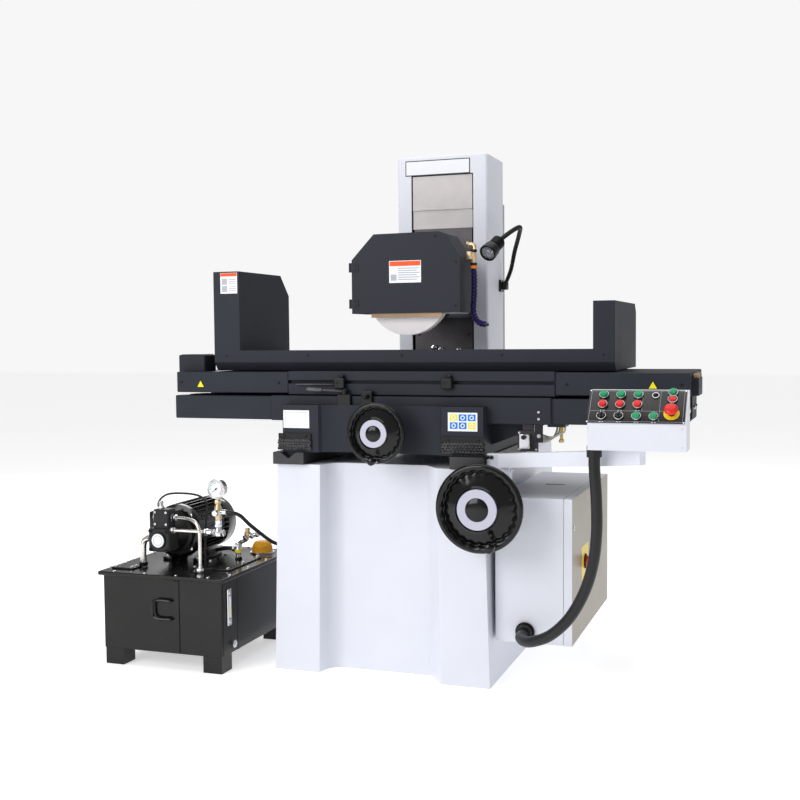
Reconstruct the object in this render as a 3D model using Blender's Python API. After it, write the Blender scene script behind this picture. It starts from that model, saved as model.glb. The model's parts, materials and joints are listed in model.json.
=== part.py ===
"""Column surface grinder with its hydraulic power unit, as separate solids.

Metres, +Z up, +X to the operator's right, +Y away from the operator.
The origin is on the floor, in the middle of the base casting's underside.
"""

from math import cos, pi, radians, sin

import bmesh
import bpy
from mathutils import Matrix, Vector

GAP = 0.0003
WALL = 0.004

# Base casting and its cross ways.
BASE_DEPTH = 1.10
FRONT = -BASE_DEPTH / 2
BASE_HALF = 0.40
BASE_TAPER = 0.95
BASE_TOP = 0.745
PILLAR_INNER = 0.222
RECESS_DEPTH = 0.085
RECESS_FILLET = 0.06
WAY_OUTER = 0.387
WAY_INNER = 0.268
WAY_TOP = 0.788
WAY_OVERHANG = 0.022

# Column, wheelhead and wheel share one middle plane.
MID_X = 0.03
COLUMN_HALF = 0.186
COLUMN_Y = FRONT + 0.68
COLUMN_DEPTH = 0.25
COLUMN_TOP = 1.908
SLOT_HALF = 0.1275
SLOT_DEPTH = 0.20
SLOT_TOP = 1.832
REAR_COVER_TOP = 1.735

# Saddle, which carries the table and slides across the base.
SADDLE_BOTTOM = WAY_TOP + 0.0005
SADDLE_TOP = 0.955
SADDLE_BACK = FRONT + 0.525
EAR_LEFT = -0.357
EAR_RIGHT = 0.380
APRON_DEPTH = 0.030
BEAM_TOP = 0.985
WING_LEFT = -0.823
WING_RIGHT = 1.030
TABLE_MID_Y = FRONT + 0.28

# The vee way that guides the table.
VEE_Y = FRONT + 0.135
VEE_ROOT = 0.957

# Table and splash guard.
TABLE_LEFT = -0.362
TABLE_RIGHT = 0.610
TABLE_FRONT = FRONT + 0.06
TABLE_BACK = FRONT + 0.50
TABLE_BOTTOM = 0.9885
TABLE_LEDGE = 1.072
TABLE_TOP = 1.100
TABLE_WING_LEFT = -0.820
TABLE_WING_RIGHT = 1.046
GUARD_LEFT = -0.680
GUARD_RIGHT = 0.801
GUARD_FRONT = FRONT + 0.10
GUARD_BACK = FRONT + 0.53
GUARD_LIP = 1.147
GUARD_FOLD = 1.103
LEFT_TOWER_TOP = 1.438
LEFT_TOWER_WIDTH = 0.107
LEFT_TOWER_BACK = FRONT + 0.545
RIGHT_TOWER_TOP = 1.306
RIGHT_TOWER_WIDTH = 0.072
RIGHT_TOWER_BACK = FRONT + 0.61

# Grinding wheel, spindle and wheel guard.
WHEEL_R = 0.154
WHEEL_WIDTH = 0.040
WHEEL_BORE_R = 0.0635
SPINDLE_Z = 1.352
WHEEL_Y = FRONT + 0.27
SPINDLE_R = 0.035
HOOD_FRONT = FRONT + 0.2143
HOOD_BACK = FRONT + 0.365
HOOD_WALL = 0.005
DOOR_THICK = 0.004
HINGE_X = -0.178

# Handwheels.
CROSS_WHEEL = Vector((0.020, FRONT - 0.050, 0.866))
CROSS_WHEEL_R = 0.105
LIFT_WHEEL = Vector((0.397, FRONT - 0.100, 0.632))
LIFT_WHEEL_R = 0.1475
LIFT_SCREW_Y = COLUMN_Y + 0.12
LIFT_SCREW_R = 0.0165

# Electrical cabinet and control box.
CABINET_X = (0.4055, 0.640)
CABINET_Y = (FRONT + 0.05, FRONT + 0.78)
CABINET_Z = (0.155, 0.650)
CABINET_DOOR_X = 0.670
BOX_X = (0.772, 1.064)
BOX_Y = (FRONT - 0.250, FRONT - 0.145)
BOX_BOTTOM = 0.846
BOX_LIP = 0.925
BOX_TOP = 1.025
BOX_CREST_Y = FRONT - 0.160
PANEL_THICK = 0.0025
BUTTON_R = 0.0115
BEZEL_R = 0.0145
BEZEL_BORE_R = 0.0123
BEZEL_HEIGHT = 0.008
BUTTON_LIFT = 0.0045
BUTTON_HEAD = 0.0155

# Hydraulic power unit.
TANK_X = (-1.030, -0.545)
TANK_Y = (FRONT - 0.130, FRONT + 0.430)
TANK_BOTTOM = 0.060
TANK_TOP = 0.330
LID_TOP = 0.345
LID_LIP = 0.015
MOTOR_X = -0.840
MOTOR_Z = 0.465
MOTOR_R = 0.104
PUMP_Y = FRONT - 0.055

PAINT_WHITE = ("paint_white", (0.80, 0.82, 0.88), 0.35, 0.0)
PAINT_DARK = ("paint_dark", (0.040, 0.044, 0.056), 0.40, 0.0)
PAINT_GREY = ("paint_grey", (0.36, 0.36, 0.38), 0.45, 0.0)
BLACK = ("black_gloss", (0.008, 0.008, 0.009), 0.15, 0.0)
RUBBER = ("rubber", (0.012, 0.012, 0.013), 0.60, 0.0)
STEEL = ("steel", (0.55, 0.55, 0.56), 0.25, 1.0)
STAINLESS = ("stainless", (0.62, 0.61, 0.60), 0.32, 1.0)
IRON = ("cast_iron", (0.18, 0.18, 0.19), 0.45, 1.0)
BRASS = ("brass", (0.72, 0.52, 0.22), 0.28, 1.0)
ABRASIVE = ("abrasive", (0.86, 0.84, 0.85), 0.90, 0.0)
GREEN = ("green", (0.02, 0.42, 0.22), 0.35, 0.0)
RED = ("red", (0.80, 0.04, 0.03), 0.35, 0.0)
YELLOW = ("yellow", (0.90, 0.60, 0.02), 0.40, 0.0)
BEIGE = ("beige", (0.44, 0.40, 0.34), 0.45, 0.0)


def clear_scene():
    for obj in list(bpy.data.objects):
        bpy.data.objects.remove(obj, do_unlink=True)


def material(spec):
    """The Principled material of a (name, colour, roughness, metallic) spec."""
    name, colour, roughness, metallic = spec
    found = bpy.data.materials.get(name)
    if found:
        return found
    made = bpy.data.materials.new(name)
    made.use_nodes = True
    shader = made.node_tree.nodes["Principled BSDF"]
    shader.inputs["Base Color"].default_value = (*colour, 1.0)
    shader.inputs["Roughness"].default_value = roughness
    shader.inputs["Metallic"].default_value = metallic
    made.diffuse_color = (*colour, 1.0)
    return made


def finish(name, bm, spec, origin=(0, 0, 0)):
    """Turns a bmesh into an object whose origin is at the given point."""
    bmesh.ops.remove_doubles(bm, verts=bm.verts, dist=1e-6)
    bmesh.ops.recalc_face_normals(bm, faces=bm.faces)
    bmesh.ops.translate(bm, verts=bm.verts, vec=-Vector(origin))
    mesh = bpy.data.meshes.new(name)
    bm.to_mesh(mesh)
    bm.free()
    mesh.shade_smooth()
    mesh.set_sharp_from_angle(angle=radians(35))
    obj = bpy.data.objects.new(name, mesh)
    obj.location = origin
    bpy.context.scene.collection.objects.link(obj)
    if spec:
        mesh.materials.append(material(spec))
    return obj


def helper(bm, name="cutter"):
    """A hidden solid for a Boolean."""
    obj = finish(name, bm, None)
    obj.hide_render = True
    obj.display_type = "WIRE"
    return obj


def boolean(obj, bm, operation):
    """Adds a Boolean with a hidden solid, given in world coordinates."""
    other = helper(bm, f"{obj.name}_{operation.lower()}")
    step = obj.modifiers.new(operation.lower(), "BOOLEAN")
    step.operation = operation
    step.object = other
    step.solver = "EXACT"
    return obj


def cut(obj, *solids):
    for bm in solids:
        boolean(obj, bm, "DIFFERENCE")
    return obj


def join(obj, *solids):
    for bm in solids:
        boolean(obj, bm, "UNION")
    return obj


def box(low, high, bevel=0.0, segments=1):
    """A box between two corners, with every edge bevelled when asked."""
    bm = bmesh.new()
    size = Vector(high) - Vector(low)
    middle = (Vector(high) + Vector(low)) / 2
    bmesh.ops.create_cube(bm, size=1.0)
    bmesh.ops.scale(bm, verts=bm.verts, vec=size)
    bmesh.ops.translate(bm, verts=bm.verts, vec=middle)
    if bevel:
        bmesh.ops.bevel(bm, geom=list(bm.edges), offset=bevel, segments=segments,
                        profile=0.5, affect="EDGES", material=-1)
    return bm


def prism(outline, axis, start, end):
    """Extrudes an outline given in the two axes that the extrusion leaves."""
    place = {
        "X": lambda a, b: (start, a, b),
        "Y": lambda a, b: (a, start, b),
        "Z": lambda a, b: (a, b, start),
    }[axis]
    along = Vector([end - start if name == axis else 0.0 for name in "XYZ"])
    bm = bmesh.new()
    face = bm.faces.new([bm.verts.new(place(a, b)) for a, b in outline])
    made = bmesh.ops.extrude_face_region(bm, geom=[face])
    moved = [item for item in made["geom"] if isinstance(item, bmesh.types.BMVert)]
    bmesh.ops.translate(bm, verts=moved, vec=along)
    return bm


def turned(profile, centre, direction=(0, 0, 1), steps=24):
    """Spins (radius, height) points about an axis through the centre."""
    bm = bmesh.new()
    points = [bm.verts.new((radius, 0, height)) for radius, height in profile]
    edges = [bm.edges.new(pair) for pair in zip(points, points[1:])]
    if profile[0][0] > 0:
        edges.append(bm.edges.new((points[-1], points[0])))
    bmesh.ops.spin(bm, geom=points + edges, cent=(0, 0, 0), axis=(0, 0, 1),
                   angle=2 * pi, steps=steps, use_merge=True, use_duplicate=False)
    bmesh.ops.remove_doubles(bm, verts=bm.verts, dist=1e-6)
    turn = Vector((0, 0, 1)).rotation_difference(Vector(direction))
    frame = Matrix.Translation(Vector(centre)) @ turn.to_matrix().to_4x4()
    bmesh.ops.transform(bm, matrix=frame, verts=bm.verts)
    return bm


def rod(start, end, radius, steps=24):
    """A round bar between two points."""
    start, end = Vector(start), Vector(end)
    length = (end - start).length
    profile = [(0, 0), (radius, 0), (radius, length), (0, length)]
    return turned(profile, start, end - start, steps)


def ring(start, end, outer, inner, steps=24):
    """A plain tube between two points."""
    start, end = Vector(start), Vector(end)
    length = (end - start).length
    profile = [(inner, 0), (outer, 0), (outer, length), (inner, length)]
    return turned(profile, start, end - start, steps)


def smooth_route(points, spacing):
    """Points at an even spacing on a Catmull-Rom curve through the route."""
    route = [Vector(point) for point in points]
    ends = [2 * route[0] - route[1]] + route + [2 * route[-1] - route[-2]]
    fine = []
    for a, b, c, d in zip(ends, ends[1:], ends[2:], ends[3:]):
        for step in range(24):
            t = step / 24
            fine.append(0.5 * (2 * b + (c - a) * t + (2 * a - 5 * b + 4 * c - d) * t**2
                               + (3 * b - a - 3 * c + d) * t**3))
    fine.append(route[-1])
    total = sum((q - p).length for p, q in zip(fine, fine[1:]))
    count = max(2, round(total / spacing))
    picked = [fine[0]]
    run = 0.0
    for p, q in zip(fine, fine[1:]):
        run += (q - p).length
        if run >= len(picked) * total / count and len(picked) < count:
            picked.append(q)
    return picked + [fine[-1]]


def square_ends(route, path):
    """Sets the second and the second last point in line with the route's ends."""
    first = (Vector(route[1]) - Vector(route[0])).normalized()
    last = (Vector(route[-2]) - Vector(route[-1])).normalized()
    path[1] = path[0] + first * (path[1] - path[0]).length
    path[-2] = path[-1] + last * (path[-2] - path[-1]).length
    return path


def swept(points, radius, spacing, steps=12):
    """A round bar along a smooth route, built ring by ring."""
    path = square_ends(points, smooth_route(points, spacing))
    bm = bmesh.new()
    rings = []
    side = None
    for index, point in enumerate(path):
        before = path[max(index - 1, 0)]
        after = path[min(index + 1, len(path) - 1)]
        along = (after - before).normalized()
        if side is None:
            side = along.orthogonal().normalized()
        side = (side - along * side.dot(along)).normalized()
        up = along.cross(side)
        turns = [2 * pi * step / steps for step in range(steps)]
        rings.append([bm.verts.new(point + radius * (cos(t) * side + sin(t) * up))
                      for t in turns])
    for low, high in zip(rings, rings[1:]):
        for step in range(steps):
            other = (step + 1) % steps
            bm.faces.new((low[step], low[other], high[other], high[step]))
    bm.faces.new(rings[0][::-1])
    bm.faces.new(rings[-1])
    return bm


def cord(name, points, radius, spacing, spec):
    """A free hose: a curve with a round bevel and filled caps."""
    curve = bpy.data.curves.new(name, "CURVE")
    curve.dimensions = "3D"
    curve.bevel_depth = radius
    curve.bevel_resolution = 3
    curve.use_fill_caps = True
    path = square_ends(points, smooth_route(points, spacing))
    spline = curve.splines.new("POLY")
    spline.points.add(len(path) - 1)
    for target, point in zip(spline.points, path):
        target.co = (*point, 1.0)
    curve.materials.append(material(spec))
    obj = bpy.data.objects.new(name, curve)
    bpy.context.scene.collection.objects.link(obj)
    return obj


def arc(centre, radius, start, end, steps):
    """Points on an arc in a plane, between two angles in degrees."""
    angles = [radians(start + (end - start) * step / steps) for step in range(steps + 1)]
    return [(centre[0] + radius * cos(a), centre[1] + radius * sin(a)) for a in angles]


def front_recess(outer, inner, front, depth, fillet, steps=5):
    """Plan points of a recess between two pillars, with filleted corners."""
    left = arc((-inner + fillet, front + depth - fillet), fillet, 180, 90, steps)
    right = [(inner - fillet, front + depth), (inner + 0.004, front)]
    return [(-outer, front), (-inner - 0.004, front)] + left + right + [(outer, front)]


def make_base():
    outline = front_recess(BASE_HALF, PILLAR_INNER, FRONT, RECESS_DEPTH, RECESS_FILLET)
    outline += [(BASE_HALF, -FRONT), (-BASE_HALF, -FRONT)]
    bm = prism(outline, "Z", 0.0, BASE_TOP)
    for vert in bm.verts:
        if vert.co.z > BASE_TOP / 2:
            vert.co.x *= BASE_TAPER
    base = finish("base_casting", bm, PAINT_WHITE)
    wall = 0.03
    web = 0.03
    half = BASE_HALF * BASE_TAPER - wall
    pockets = [(FRONT + RECESS_DEPTH + wall, -web), (web, -FRONT - wall)]
    for low, high in pockets:
        cut(base, box((-half, low, -0.05), (half, high, BASE_TOP - 0.045)))
    port = (-half - 0.01, *HOSE_PORT)
    join(base, rod(port, (-0.402, *HOSE_PORT), 0.013, 16))
    left = [(-WAY_OUTER, BASE_TOP + GAP), (-WAY_INNER, BASE_TOP + GAP), (-WAY_INNER, WAY_TOP),
            (-WAY_INNER - 0.030, WAY_TOP), (-WAY_INNER - 0.060, WAY_TOP - 0.022),
            (-WAY_INNER - 0.090, WAY_TOP), (-WAY_OUTER, WAY_TOP)]
    right = [(WAY_INNER, BASE_TOP + GAP), (WAY_OUTER, BASE_TOP + GAP), (WAY_OUTER, WAY_TOP),
             (WAY_INNER, WAY_TOP)]
    end = COLUMN_Y - 0.004
    finish("cross_way_left", prism(left, "Y", FRONT - WAY_OVERHANG, end), IRON)
    finish("cross_way_right", prism(right, "Y", FRONT - WAY_OVERHANG, end), IRON)


def make_column():
    low = (MID_X - COLUMN_HALF, COLUMN_Y, BASE_TOP + GAP)
    high = (MID_X + COLUMN_HALF, COLUMN_Y + COLUMN_DEPTH, COLUMN_TOP)
    column = finish("column", box(low, high, 0.006), PAINT_WHITE)
    cut(column, box((MID_X - SLOT_HALF, COLUMN_Y - 0.05, BASE_TOP + 0.06),
                    (MID_X + SLOT_HALF, COLUMN_Y + SLOT_DEPTH, SLOT_TOP)))
    back = COLUMN_Y + COLUMN_DEPTH + GAP
    cover = box((low[0] + 0.02, back, BASE_TOP + 0.02), (high[0] - 0.002, back + 0.03, REAR_COVER_TOP),
                0.004)
    finish("column_rear_cover", cover, PAINT_GREY)
    screw = [(0, 0), (LIFT_SCREW_R, 0), (LIFT_SCREW_R, 1.0), (0, 1.0)]
    at = (MID_X, LIFT_SCREW_Y, BASE_TOP + 0.065)
    finish("elevating_screw", turned(screw, at, steps=20), STEEL, at)


def make_way_covers():
    half = SLOT_HALF - 0.004
    leaves = (("way_cover_top", 1.694, 1.829, 0.004), ("way_cover_middle", 1.620, 1.750, 0.008))
    for name, low, high, inset in leaves:
        front = COLUMN_Y + inset
        leaf = box((MID_X - half, front, low), (MID_X + half, front + 0.003, high))
        origin = (MID_X, front, low)
        finish(name, leaf, STAINLESS, origin)


def make_wheelhead():
    head = box((MID_X - 0.12, HOOD_BACK + GAP, 1.262), (MID_X + 0.12, COLUMN_Y + 0.025, 1.505), 0.008)
    origin = (MID_X, COLUMN_Y, SPINDLE_Z)
    obj = finish("wheelhead", head, PAINT_DARK, origin)
    slide = box((MID_X - SLOT_HALF + 0.002, COLUMN_Y + 0.02, 1.180),
                (MID_X + SLOT_HALF - 0.002, COLUMN_Y + 0.17, 1.580))
    apron = box((MID_X - 0.12, COLUMN_Y + 0.012, 1.45), (MID_X + 0.12, COLUMN_Y + 0.022, 1.668))
    skirt = box((MID_X - 0.12, COLUMN_Y + 0.012, 0.915), (MID_X + 0.12, COLUMN_Y + 0.022, 1.30))
    motor = rod((MID_X, COLUMN_Y - 0.14, 1.50), (MID_X, COLUMN_Y - 0.14, 1.535), 0.06, 20)
    join(obj, slide, apron, skirt, motor)
    bore = rod((MID_X, HOOD_BACK - 0.01, SPINDLE_Z), (MID_X, HOOD_BACK + 0.26, SPINDLE_Z),
               SPINDLE_R + 0.0006, 24)
    screw = rod((MID_X, LIFT_SCREW_Y, 1.10), (MID_X, LIFT_SCREW_Y, 1.65), LIFT_SCREW_R + 0.001, 20)
    cut(obj, bore, screw)


def hood_outline(inset=0.0, drop=0.0):
    """The wheel guard's outline in X and Z, pulled in by the inset."""
    return [(-0.171 + inset, 1.277 - drop), (-0.171 + inset, 1.472 - inset * 0.4),
            (-0.085 + inset * 0.45, 1.563 - inset), (0.163, 1.565 - inset),
            (0.187 - inset * 0.3, 1.556 - inset), (0.240 - inset, 1.472 - inset * 0.4),
            (0.240 - inset, 1.277 - drop)]


def make_wheel_guard():
    hood = finish("wheel_guard", prism(hood_outline(), "Y", HOOD_FRONT, HOOD_BACK), PAINT_DARK)
    cut(hood, prism(hood_outline(HOOD_WALL, 0.05), "Y", HOOD_FRONT - 0.02, HOOD_BACK - HOOD_WALL))
    cut(hood, rod((MID_X, HOOD_BACK - 0.02, SPINDLE_Z), (MID_X, HOOD_BACK + 0.02, SPINDLE_Z), 0.045))
    hinge = Vector((HINGE_X, HOOD_FRONT - 0.0023, 1.277))
    leaf = prism(hood_outline(), "Y", HOOD_FRONT - GAP - DOOR_THICK, HOOD_FRONT - GAP)
    door = finish("wheel_guard_door", leaf, PAINT_DARK, hinge)
    for z in (1.296, 1.428):
        start = (hinge.x, hinge.y, z)
        join(door, rod(start, (hinge.x, hinge.y, z + 0.034), 0.0045, 12))
        join(door, box((hinge.x, hinge.y - 0.0015, z), (hinge.x + 0.02, hinge.y + 0.0008, z + 0.034)))


def make_spindle():
    at = Vector((MID_X, WHEEL_Y, SPINDLE_Z))
    half = WHEEL_WIDTH / 2
    wheel = [(WHEEL_BORE_R, -half), (WHEEL_R - 0.001, -half), (WHEEL_R, -half + 0.001),
             (WHEEL_R, half - 0.001), (WHEEL_R - 0.001, half), (WHEEL_BORE_R, half)]
    finish("grinding_wheel", turned(wheel, at, (0, 1, 0), 48), ABRASIVE, at)
    flange = WHEEL_BORE_R + 0.014
    side = half + GAP
    profile = [(0, -0.044), (0.014, -0.044), (0.014, -0.034), (0.034, -0.034), (flange, -side - 0.006),
               (flange, -side), (WHEEL_BORE_R - 0.0005, -side), (WHEEL_BORE_R - 0.0005, side),
               (flange, side), (flange, side + 0.008), (SPINDLE_R, side + 0.014), (SPINDLE_R, 0.34),
               (0, 0.34)]
    finish("spindle", turned(profile, at, (0, 1, 0), 24), STEEL, at)


def make_coolant_line():
    x = 0.266
    y = FRONT + 0.30
    bracket = box((0.2403, y - 0.012, 1.470), (x + 0.004, y + 0.012, 1.494), 0.001)
    line = finish("coolant_line", bracket, BRASS)
    valve = rod((x, y, 1.448), (x, y, 1.524), 0.0085, 16)
    elbow = rod((x + 0.004, y, 1.516), (x - 0.022, y, 1.516), 0.0065, 12)
    hose = swept([(x, y, 1.452), (x + 0.002, y, 1.40), (x + 0.001, y, 1.34), (x - 0.002, y, 1.285),
                  (x + 0.012, y - 0.01, 1.248), (x + 0.040, y - 0.025, 1.232), (x + 0.062, y - 0.03, 1.224)],
                 0.0095, 0.012, 12)
    join(line, valve, elbow, hose)


def saddle_plan():
    """The saddle body's outline from above, with the hollowed apron."""
    hollow = arc((0.0, 0.0), 1.0, 180, 90, 4)
    left = [(-0.120 + 0.100 * a, FRONT + APRON_DEPTH * b) for a, b in hollow]
    right = [(0.133 - 0.100 * a, FRONT + APRON_DEPTH * b) for a, b in reversed(hollow)]
    return [(EAR_LEFT, FRONT)] + left + right + [
        (EAR_RIGHT, FRONT), (EAR_RIGHT, SADDLE_BACK), (EAR_LEFT, SADDLE_BACK)]


def make_saddle():
    saddle = finish("saddle", prism(saddle_plan(), "Z", SADDLE_BOTTOM, SADDLE_TOP), PAINT_DARK)
    beam = box((-0.425, FRONT + 0.045, 0.8955), (0.600, FRONT + 0.530, BEAM_TOP), 0.003)
    wings = box((WING_LEFT, FRONT + 0.055, 0.8970), (WING_RIGHT, FRONT + 0.500, 0.9820), 0.003)
    flank = [(0.36, 0.950), (0.56, 0.915), (0.56, 0.890), (0.36, 0.812)]
    join(saddle, beam, wings, prism(flank, "Y", FRONT + 0.11, FRONT + 0.48))
    join(saddle, box((-0.160, FRONT + 0.0305, 0.950), (-0.110, FRONT + 0.0560, 0.990), 0.002))
    join(saddle, box((-0.070, FRONT + 0.0320, 0.950), (-0.030, FRONT + 0.0540, 1.004), 0.002))
    screw = CROSS_WHEEL
    cut(saddle, box((screw.x - 0.045, FRONT + 0.11, 0.70), (screw.x + 0.045, FRONT + 0.70, 0.893)))
    cut(saddle, rod((screw.x, FRONT - 0.02, screw.z), (screw.x, FRONT + 0.20, screw.z), 0.0135, 20))
    cut(saddle, box((-1.0, TABLE_MID_Y - 0.045, 0.905), (1.2, TABLE_MID_Y + 0.045, 1.05)))
    vee = [(VEE_Y - 0.05, VEE_ROOT + 0.05), (VEE_Y + 0.05, VEE_ROOT + 0.05), (VEE_Y, VEE_ROOT)]
    cut(saddle, prism(vee, "X", -1.0, 1.2))
    ridge = [(-WAY_INNER - 0.033, SADDLE_BOTTOM + 0.01), (-WAY_INNER - 0.033, SADDLE_BOTTOM - 0.0005),
             (-WAY_INNER - 0.060, WAY_TOP - 0.0205), (-WAY_INNER - 0.087, SADDLE_BOTTOM - 0.0005),
             (-WAY_INNER - 0.087, SADDLE_BOTTOM + 0.01)]
    join(saddle, prism(ridge, "Y", FRONT + 0.01, SADDLE_BACK - 0.01))
    return saddle


def make_cylinder():
    z = 0.944
    x = 0.5 * (TABLE_LEFT + TABLE_RIGHT)
    profile = [(0, -0.40), (0.027, -0.40), (0.027, 0.40), (0, 0.40)]
    at = (x, TABLE_MID_Y, z)
    finish("hydraulic_cylinder", turned(profile, at, (1, 0, 0), 20), STEEL, at)


def make_reverse_lever():
    pivot = Vector((-0.135, FRONT + 0.043, 1.002))
    collar = rod(pivot - Vector((0, 0, 0.0115)), pivot + Vector((0, 0, 0.008)), 0.011, 16)
    lever = finish("reverse_lever", collar, BLACK, pivot)
    tip = Vector((-0.274, FRONT + 0.022, 1.010))
    middle = Vector((-0.215, FRONT + 0.030, 1.006))
    join(lever, rod(pivot, middle + Vector((-0.01, 0, 0)), 0.004, 12), rod(middle, tip, 0.0075, 16))


def make_table():
    body = box((TABLE_LEFT, TABLE_FRONT, TABLE_BOTTOM), (TABLE_RIGHT, TABLE_BACK, TABLE_LEDGE), 0.002)
    table = finish("table", body, PAINT_DARK)
    land_low = (TABLE_LEFT + 0.06, FRONT + 0.135, TABLE_LEDGE - 0.01)
    join(table, box(land_low, (TABLE_RIGHT - 0.06, FRONT + 0.43, TABLE_TOP)))
    crest = VEE_ROOT + 0.0015
    vee = [(VEE_Y - 0.034, crest + 0.034), (VEE_Y + 0.034, crest + 0.034), (VEE_Y, crest)]
    join(table, prism(vee, "X", TABLE_LEFT + 0.01, TABLE_RIGHT - 0.01))
    for y in (TABLE_MID_Y - 0.10, TABLE_MID_Y, TABLE_MID_Y + 0.10):
        cut(table, tee_slot(y, TABLE_TOP))
    slot = [(TABLE_FRONT - 0.01, 1.028), (TABLE_FRONT + 0.010, 1.028), (TABLE_FRONT + 0.010, 1.022),
            (TABLE_FRONT + 0.018, 1.022), (TABLE_FRONT + 0.018, 1.046), (TABLE_FRONT + 0.010, 1.046),
            (TABLE_FRONT + 0.010, 1.040), (TABLE_FRONT - 0.01, 1.040)]
    cut(table, prism(slot, "X", TABLE_LEFT - 0.1, TABLE_RIGHT + 0.1))


def tee_slot(y, top):
    """A cutter for a T-slot that runs the length of the table."""
    neck, head, depth = 0.007, 0.0115, 0.012
    outline = [(y - neck, top + 0.01), (y - neck, top - depth), (y - head, top - depth),
               (y - head, top - depth - 0.010), (y + head, top - depth - 0.010),
               (y + head, top - depth), (y + neck, top - depth), (y + neck, top + 0.01)]
    return prism(outline, "X", TABLE_LEFT - 0.1, TABLE_RIGHT + 0.1)


def make_table_wings():
    sides = (("table_wing_left", TABLE_WING_LEFT, TABLE_LEFT - GAP, -1),
             ("table_wing_right", TABLE_RIGHT + GAP, TABLE_WING_RIGHT, 1))
    for name, left, right, way in sides:
        wing = box((left, TABLE_FRONT + 0.002, 0.993), (right, TABLE_BACK - 0.002, 1.069), 0.003)
        obj = finish(name, wing, PAINT_DARK)
        inner = (left + WALL, right + 0.05) if way < 0 else (left - 0.05, right - WALL)
        cut(obj, box((inner[0], TABLE_FRONT + 0.006, 0.90), (inner[1], TABLE_BACK - 0.006, 1.065)))
        if way < 0:
            join(obj, box((left - 0.018, FRONT + 0.11, 1.067), (left + 0.092, FRONT + 0.20, 1.131), 0.003))
        else:
            end_low = (right - 0.004, TABLE_FRONT + 0.06, 0.993)
            join(obj, box(end_low, (right + 0.022, TABLE_FRONT + 0.20, 1.050)))


def guard_profile(back, inset, top):
    """The splash guard's section in Y and Z, pulled in by a wall's thickness."""
    floor = TABLE_LEDGE + 0.0005
    foot = GUARD_FRONT + 0.024
    return [(GUARD_FRONT + inset, GUARD_FOLD + inset * 0.4), (foot + inset * 0.7, floor + inset),
            (back - inset, floor + inset), (back - inset, top), (GUARD_FRONT + inset, top)]


def make_splash_guard():
    x0, x1 = GUARD_LEFT, GUARD_RIGHT
    left = x0 + LEFT_TOWER_WIDTH
    right = x1 - RIGHT_TOWER_WIDTH
    high = LEFT_TOWER_TOP
    far = RIGHT_TOWER_BACK + 0.1
    block = prism(guard_profile(RIGHT_TOWER_BACK, 0.0, high), "X", x0, x1)
    guard = finish("splash_guard", block, PAINT_DARK)
    near = GUARD_FRONT - 0.1
    cut(guard, box((left, near, GUARD_LIP), (right, far, high + 0.1)))
    cut(guard, box((right - 0.05, near, RIGHT_TOWER_TOP), (x1 + 0.1, far, high + 0.1)))
    cut(guard, box((x0 - 0.1, LEFT_TOWER_BACK, 1.0), (left, far, high + 0.1)))
    cut(guard, box((left - 0.05, GUARD_BACK, 1.0), (right, far, high + 0.1)))
    cut(guard, box((left, GUARD_BACK - 0.05, 1.130), (right, far, high + 0.1)))
    spans = ((x0 + WALL, left - WALL, LEFT_TOWER_BACK), (left, right, GUARD_BACK),
             (right + WALL, x1 - WALL, RIGHT_TOWER_BACK))
    for low, end, back in spans:
        cut(guard, prism(guard_profile(back, WALL, high + 0.1), "X", low, end))
    for x, back, top, chamfer in ((left, LEFT_TOWER_BACK, LEFT_TOWER_TOP, 0.09),
                                  (right, RIGHT_TOWER_BACK, RIGHT_TOWER_TOP, 0.03)):
        corner = [(back + 0.02, top + 0.02), (back - chamfer - 0.02, top + 0.02),
                  (back + 0.02, top - chamfer - 0.02)]
        reach = (x - WALL - 0.001, x + 0.001) if x == left else (x - 0.001, x1 + 0.001)
        if x == left:
            corner[0] = (back - WALL, top + 0.02)
            corner[2] = (back - WALL, top - chamfer)
        cut(guard, prism(corner, "X", *reach))
    cut(guard, box((TABLE_LEFT + 0.0595, FRONT + 0.1345, 1.0), (TABLE_RIGHT - 0.0595, FRONT + 0.4305, 1.09)))


def make_trip_dogs():
    for name, x in (("trip_dog_left", -0.156), ("trip_dog_right", 0.239)):
        at = (x, TABLE_FRONT, 1.034)
        body = box((x - 0.020, TABLE_FRONT - 0.022, 1.012), (x + 0.020, TABLE_FRONT - 0.0005, 1.050), 0.003)
        dog = finish(name, body, BLACK, at)
        join(dog, box((x - 0.012, TABLE_FRONT - 0.01, 1.0288), (x + 0.012, TABLE_FRONT + 0.009, 1.0392)))


def make_handwheel(name, at, radius, depth, shaft):
    """A dished disc handwheel that faces the operator, with its shaft behind."""
    rim = radius * 0.11
    hub = radius * 0.27
    profile = [(0, -depth), (hub, -depth), (hub * 1.02, -depth * 0.82), (radius * 0.60, -depth * 0.15),
               (radius - 2 * rim, -depth * 0.35), (radius - 1.4 * rim, -depth * 0.66),
               (radius - 0.5 * rim, -depth * 0.70), (radius, -depth * 0.45), (radius, -depth * 0.12),
               (radius - 0.5 * rim, 0.0), (radius - 2 * rim, 0.0), (radius * 0.60, depth * 0.06),
               (hub, depth * 0.08), (shaft, depth * 0.08), (shaft, depth * 0.9), (0, depth * 0.9)]
    return finish(name, turned(profile, at, (0, 1, 0), 36), BLACK, at)


def make_handle(name, wheel_at, radius, depth, degrees, size):
    """The crank handle that turns on its own pin near the rim."""
    reach = radius * 0.87
    x = wheel_at.x + reach * cos(radians(degrees))
    z = wheel_at.z + reach * sin(radians(degrees))
    at = Vector((x, wheel_at.y - depth * 0.70 - GAP, z))
    r = size
    profile = [(0, 0.0), (r * 0.62, 0.0), (r * 0.72, -0.006), (r, -0.022), (r * 1.02, -0.036),
               (r * 0.7, -0.046), (0, -0.049)]
    finish(name, turned(profile, at, (0, 1, 0), 16), BLACK, at)


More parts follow.
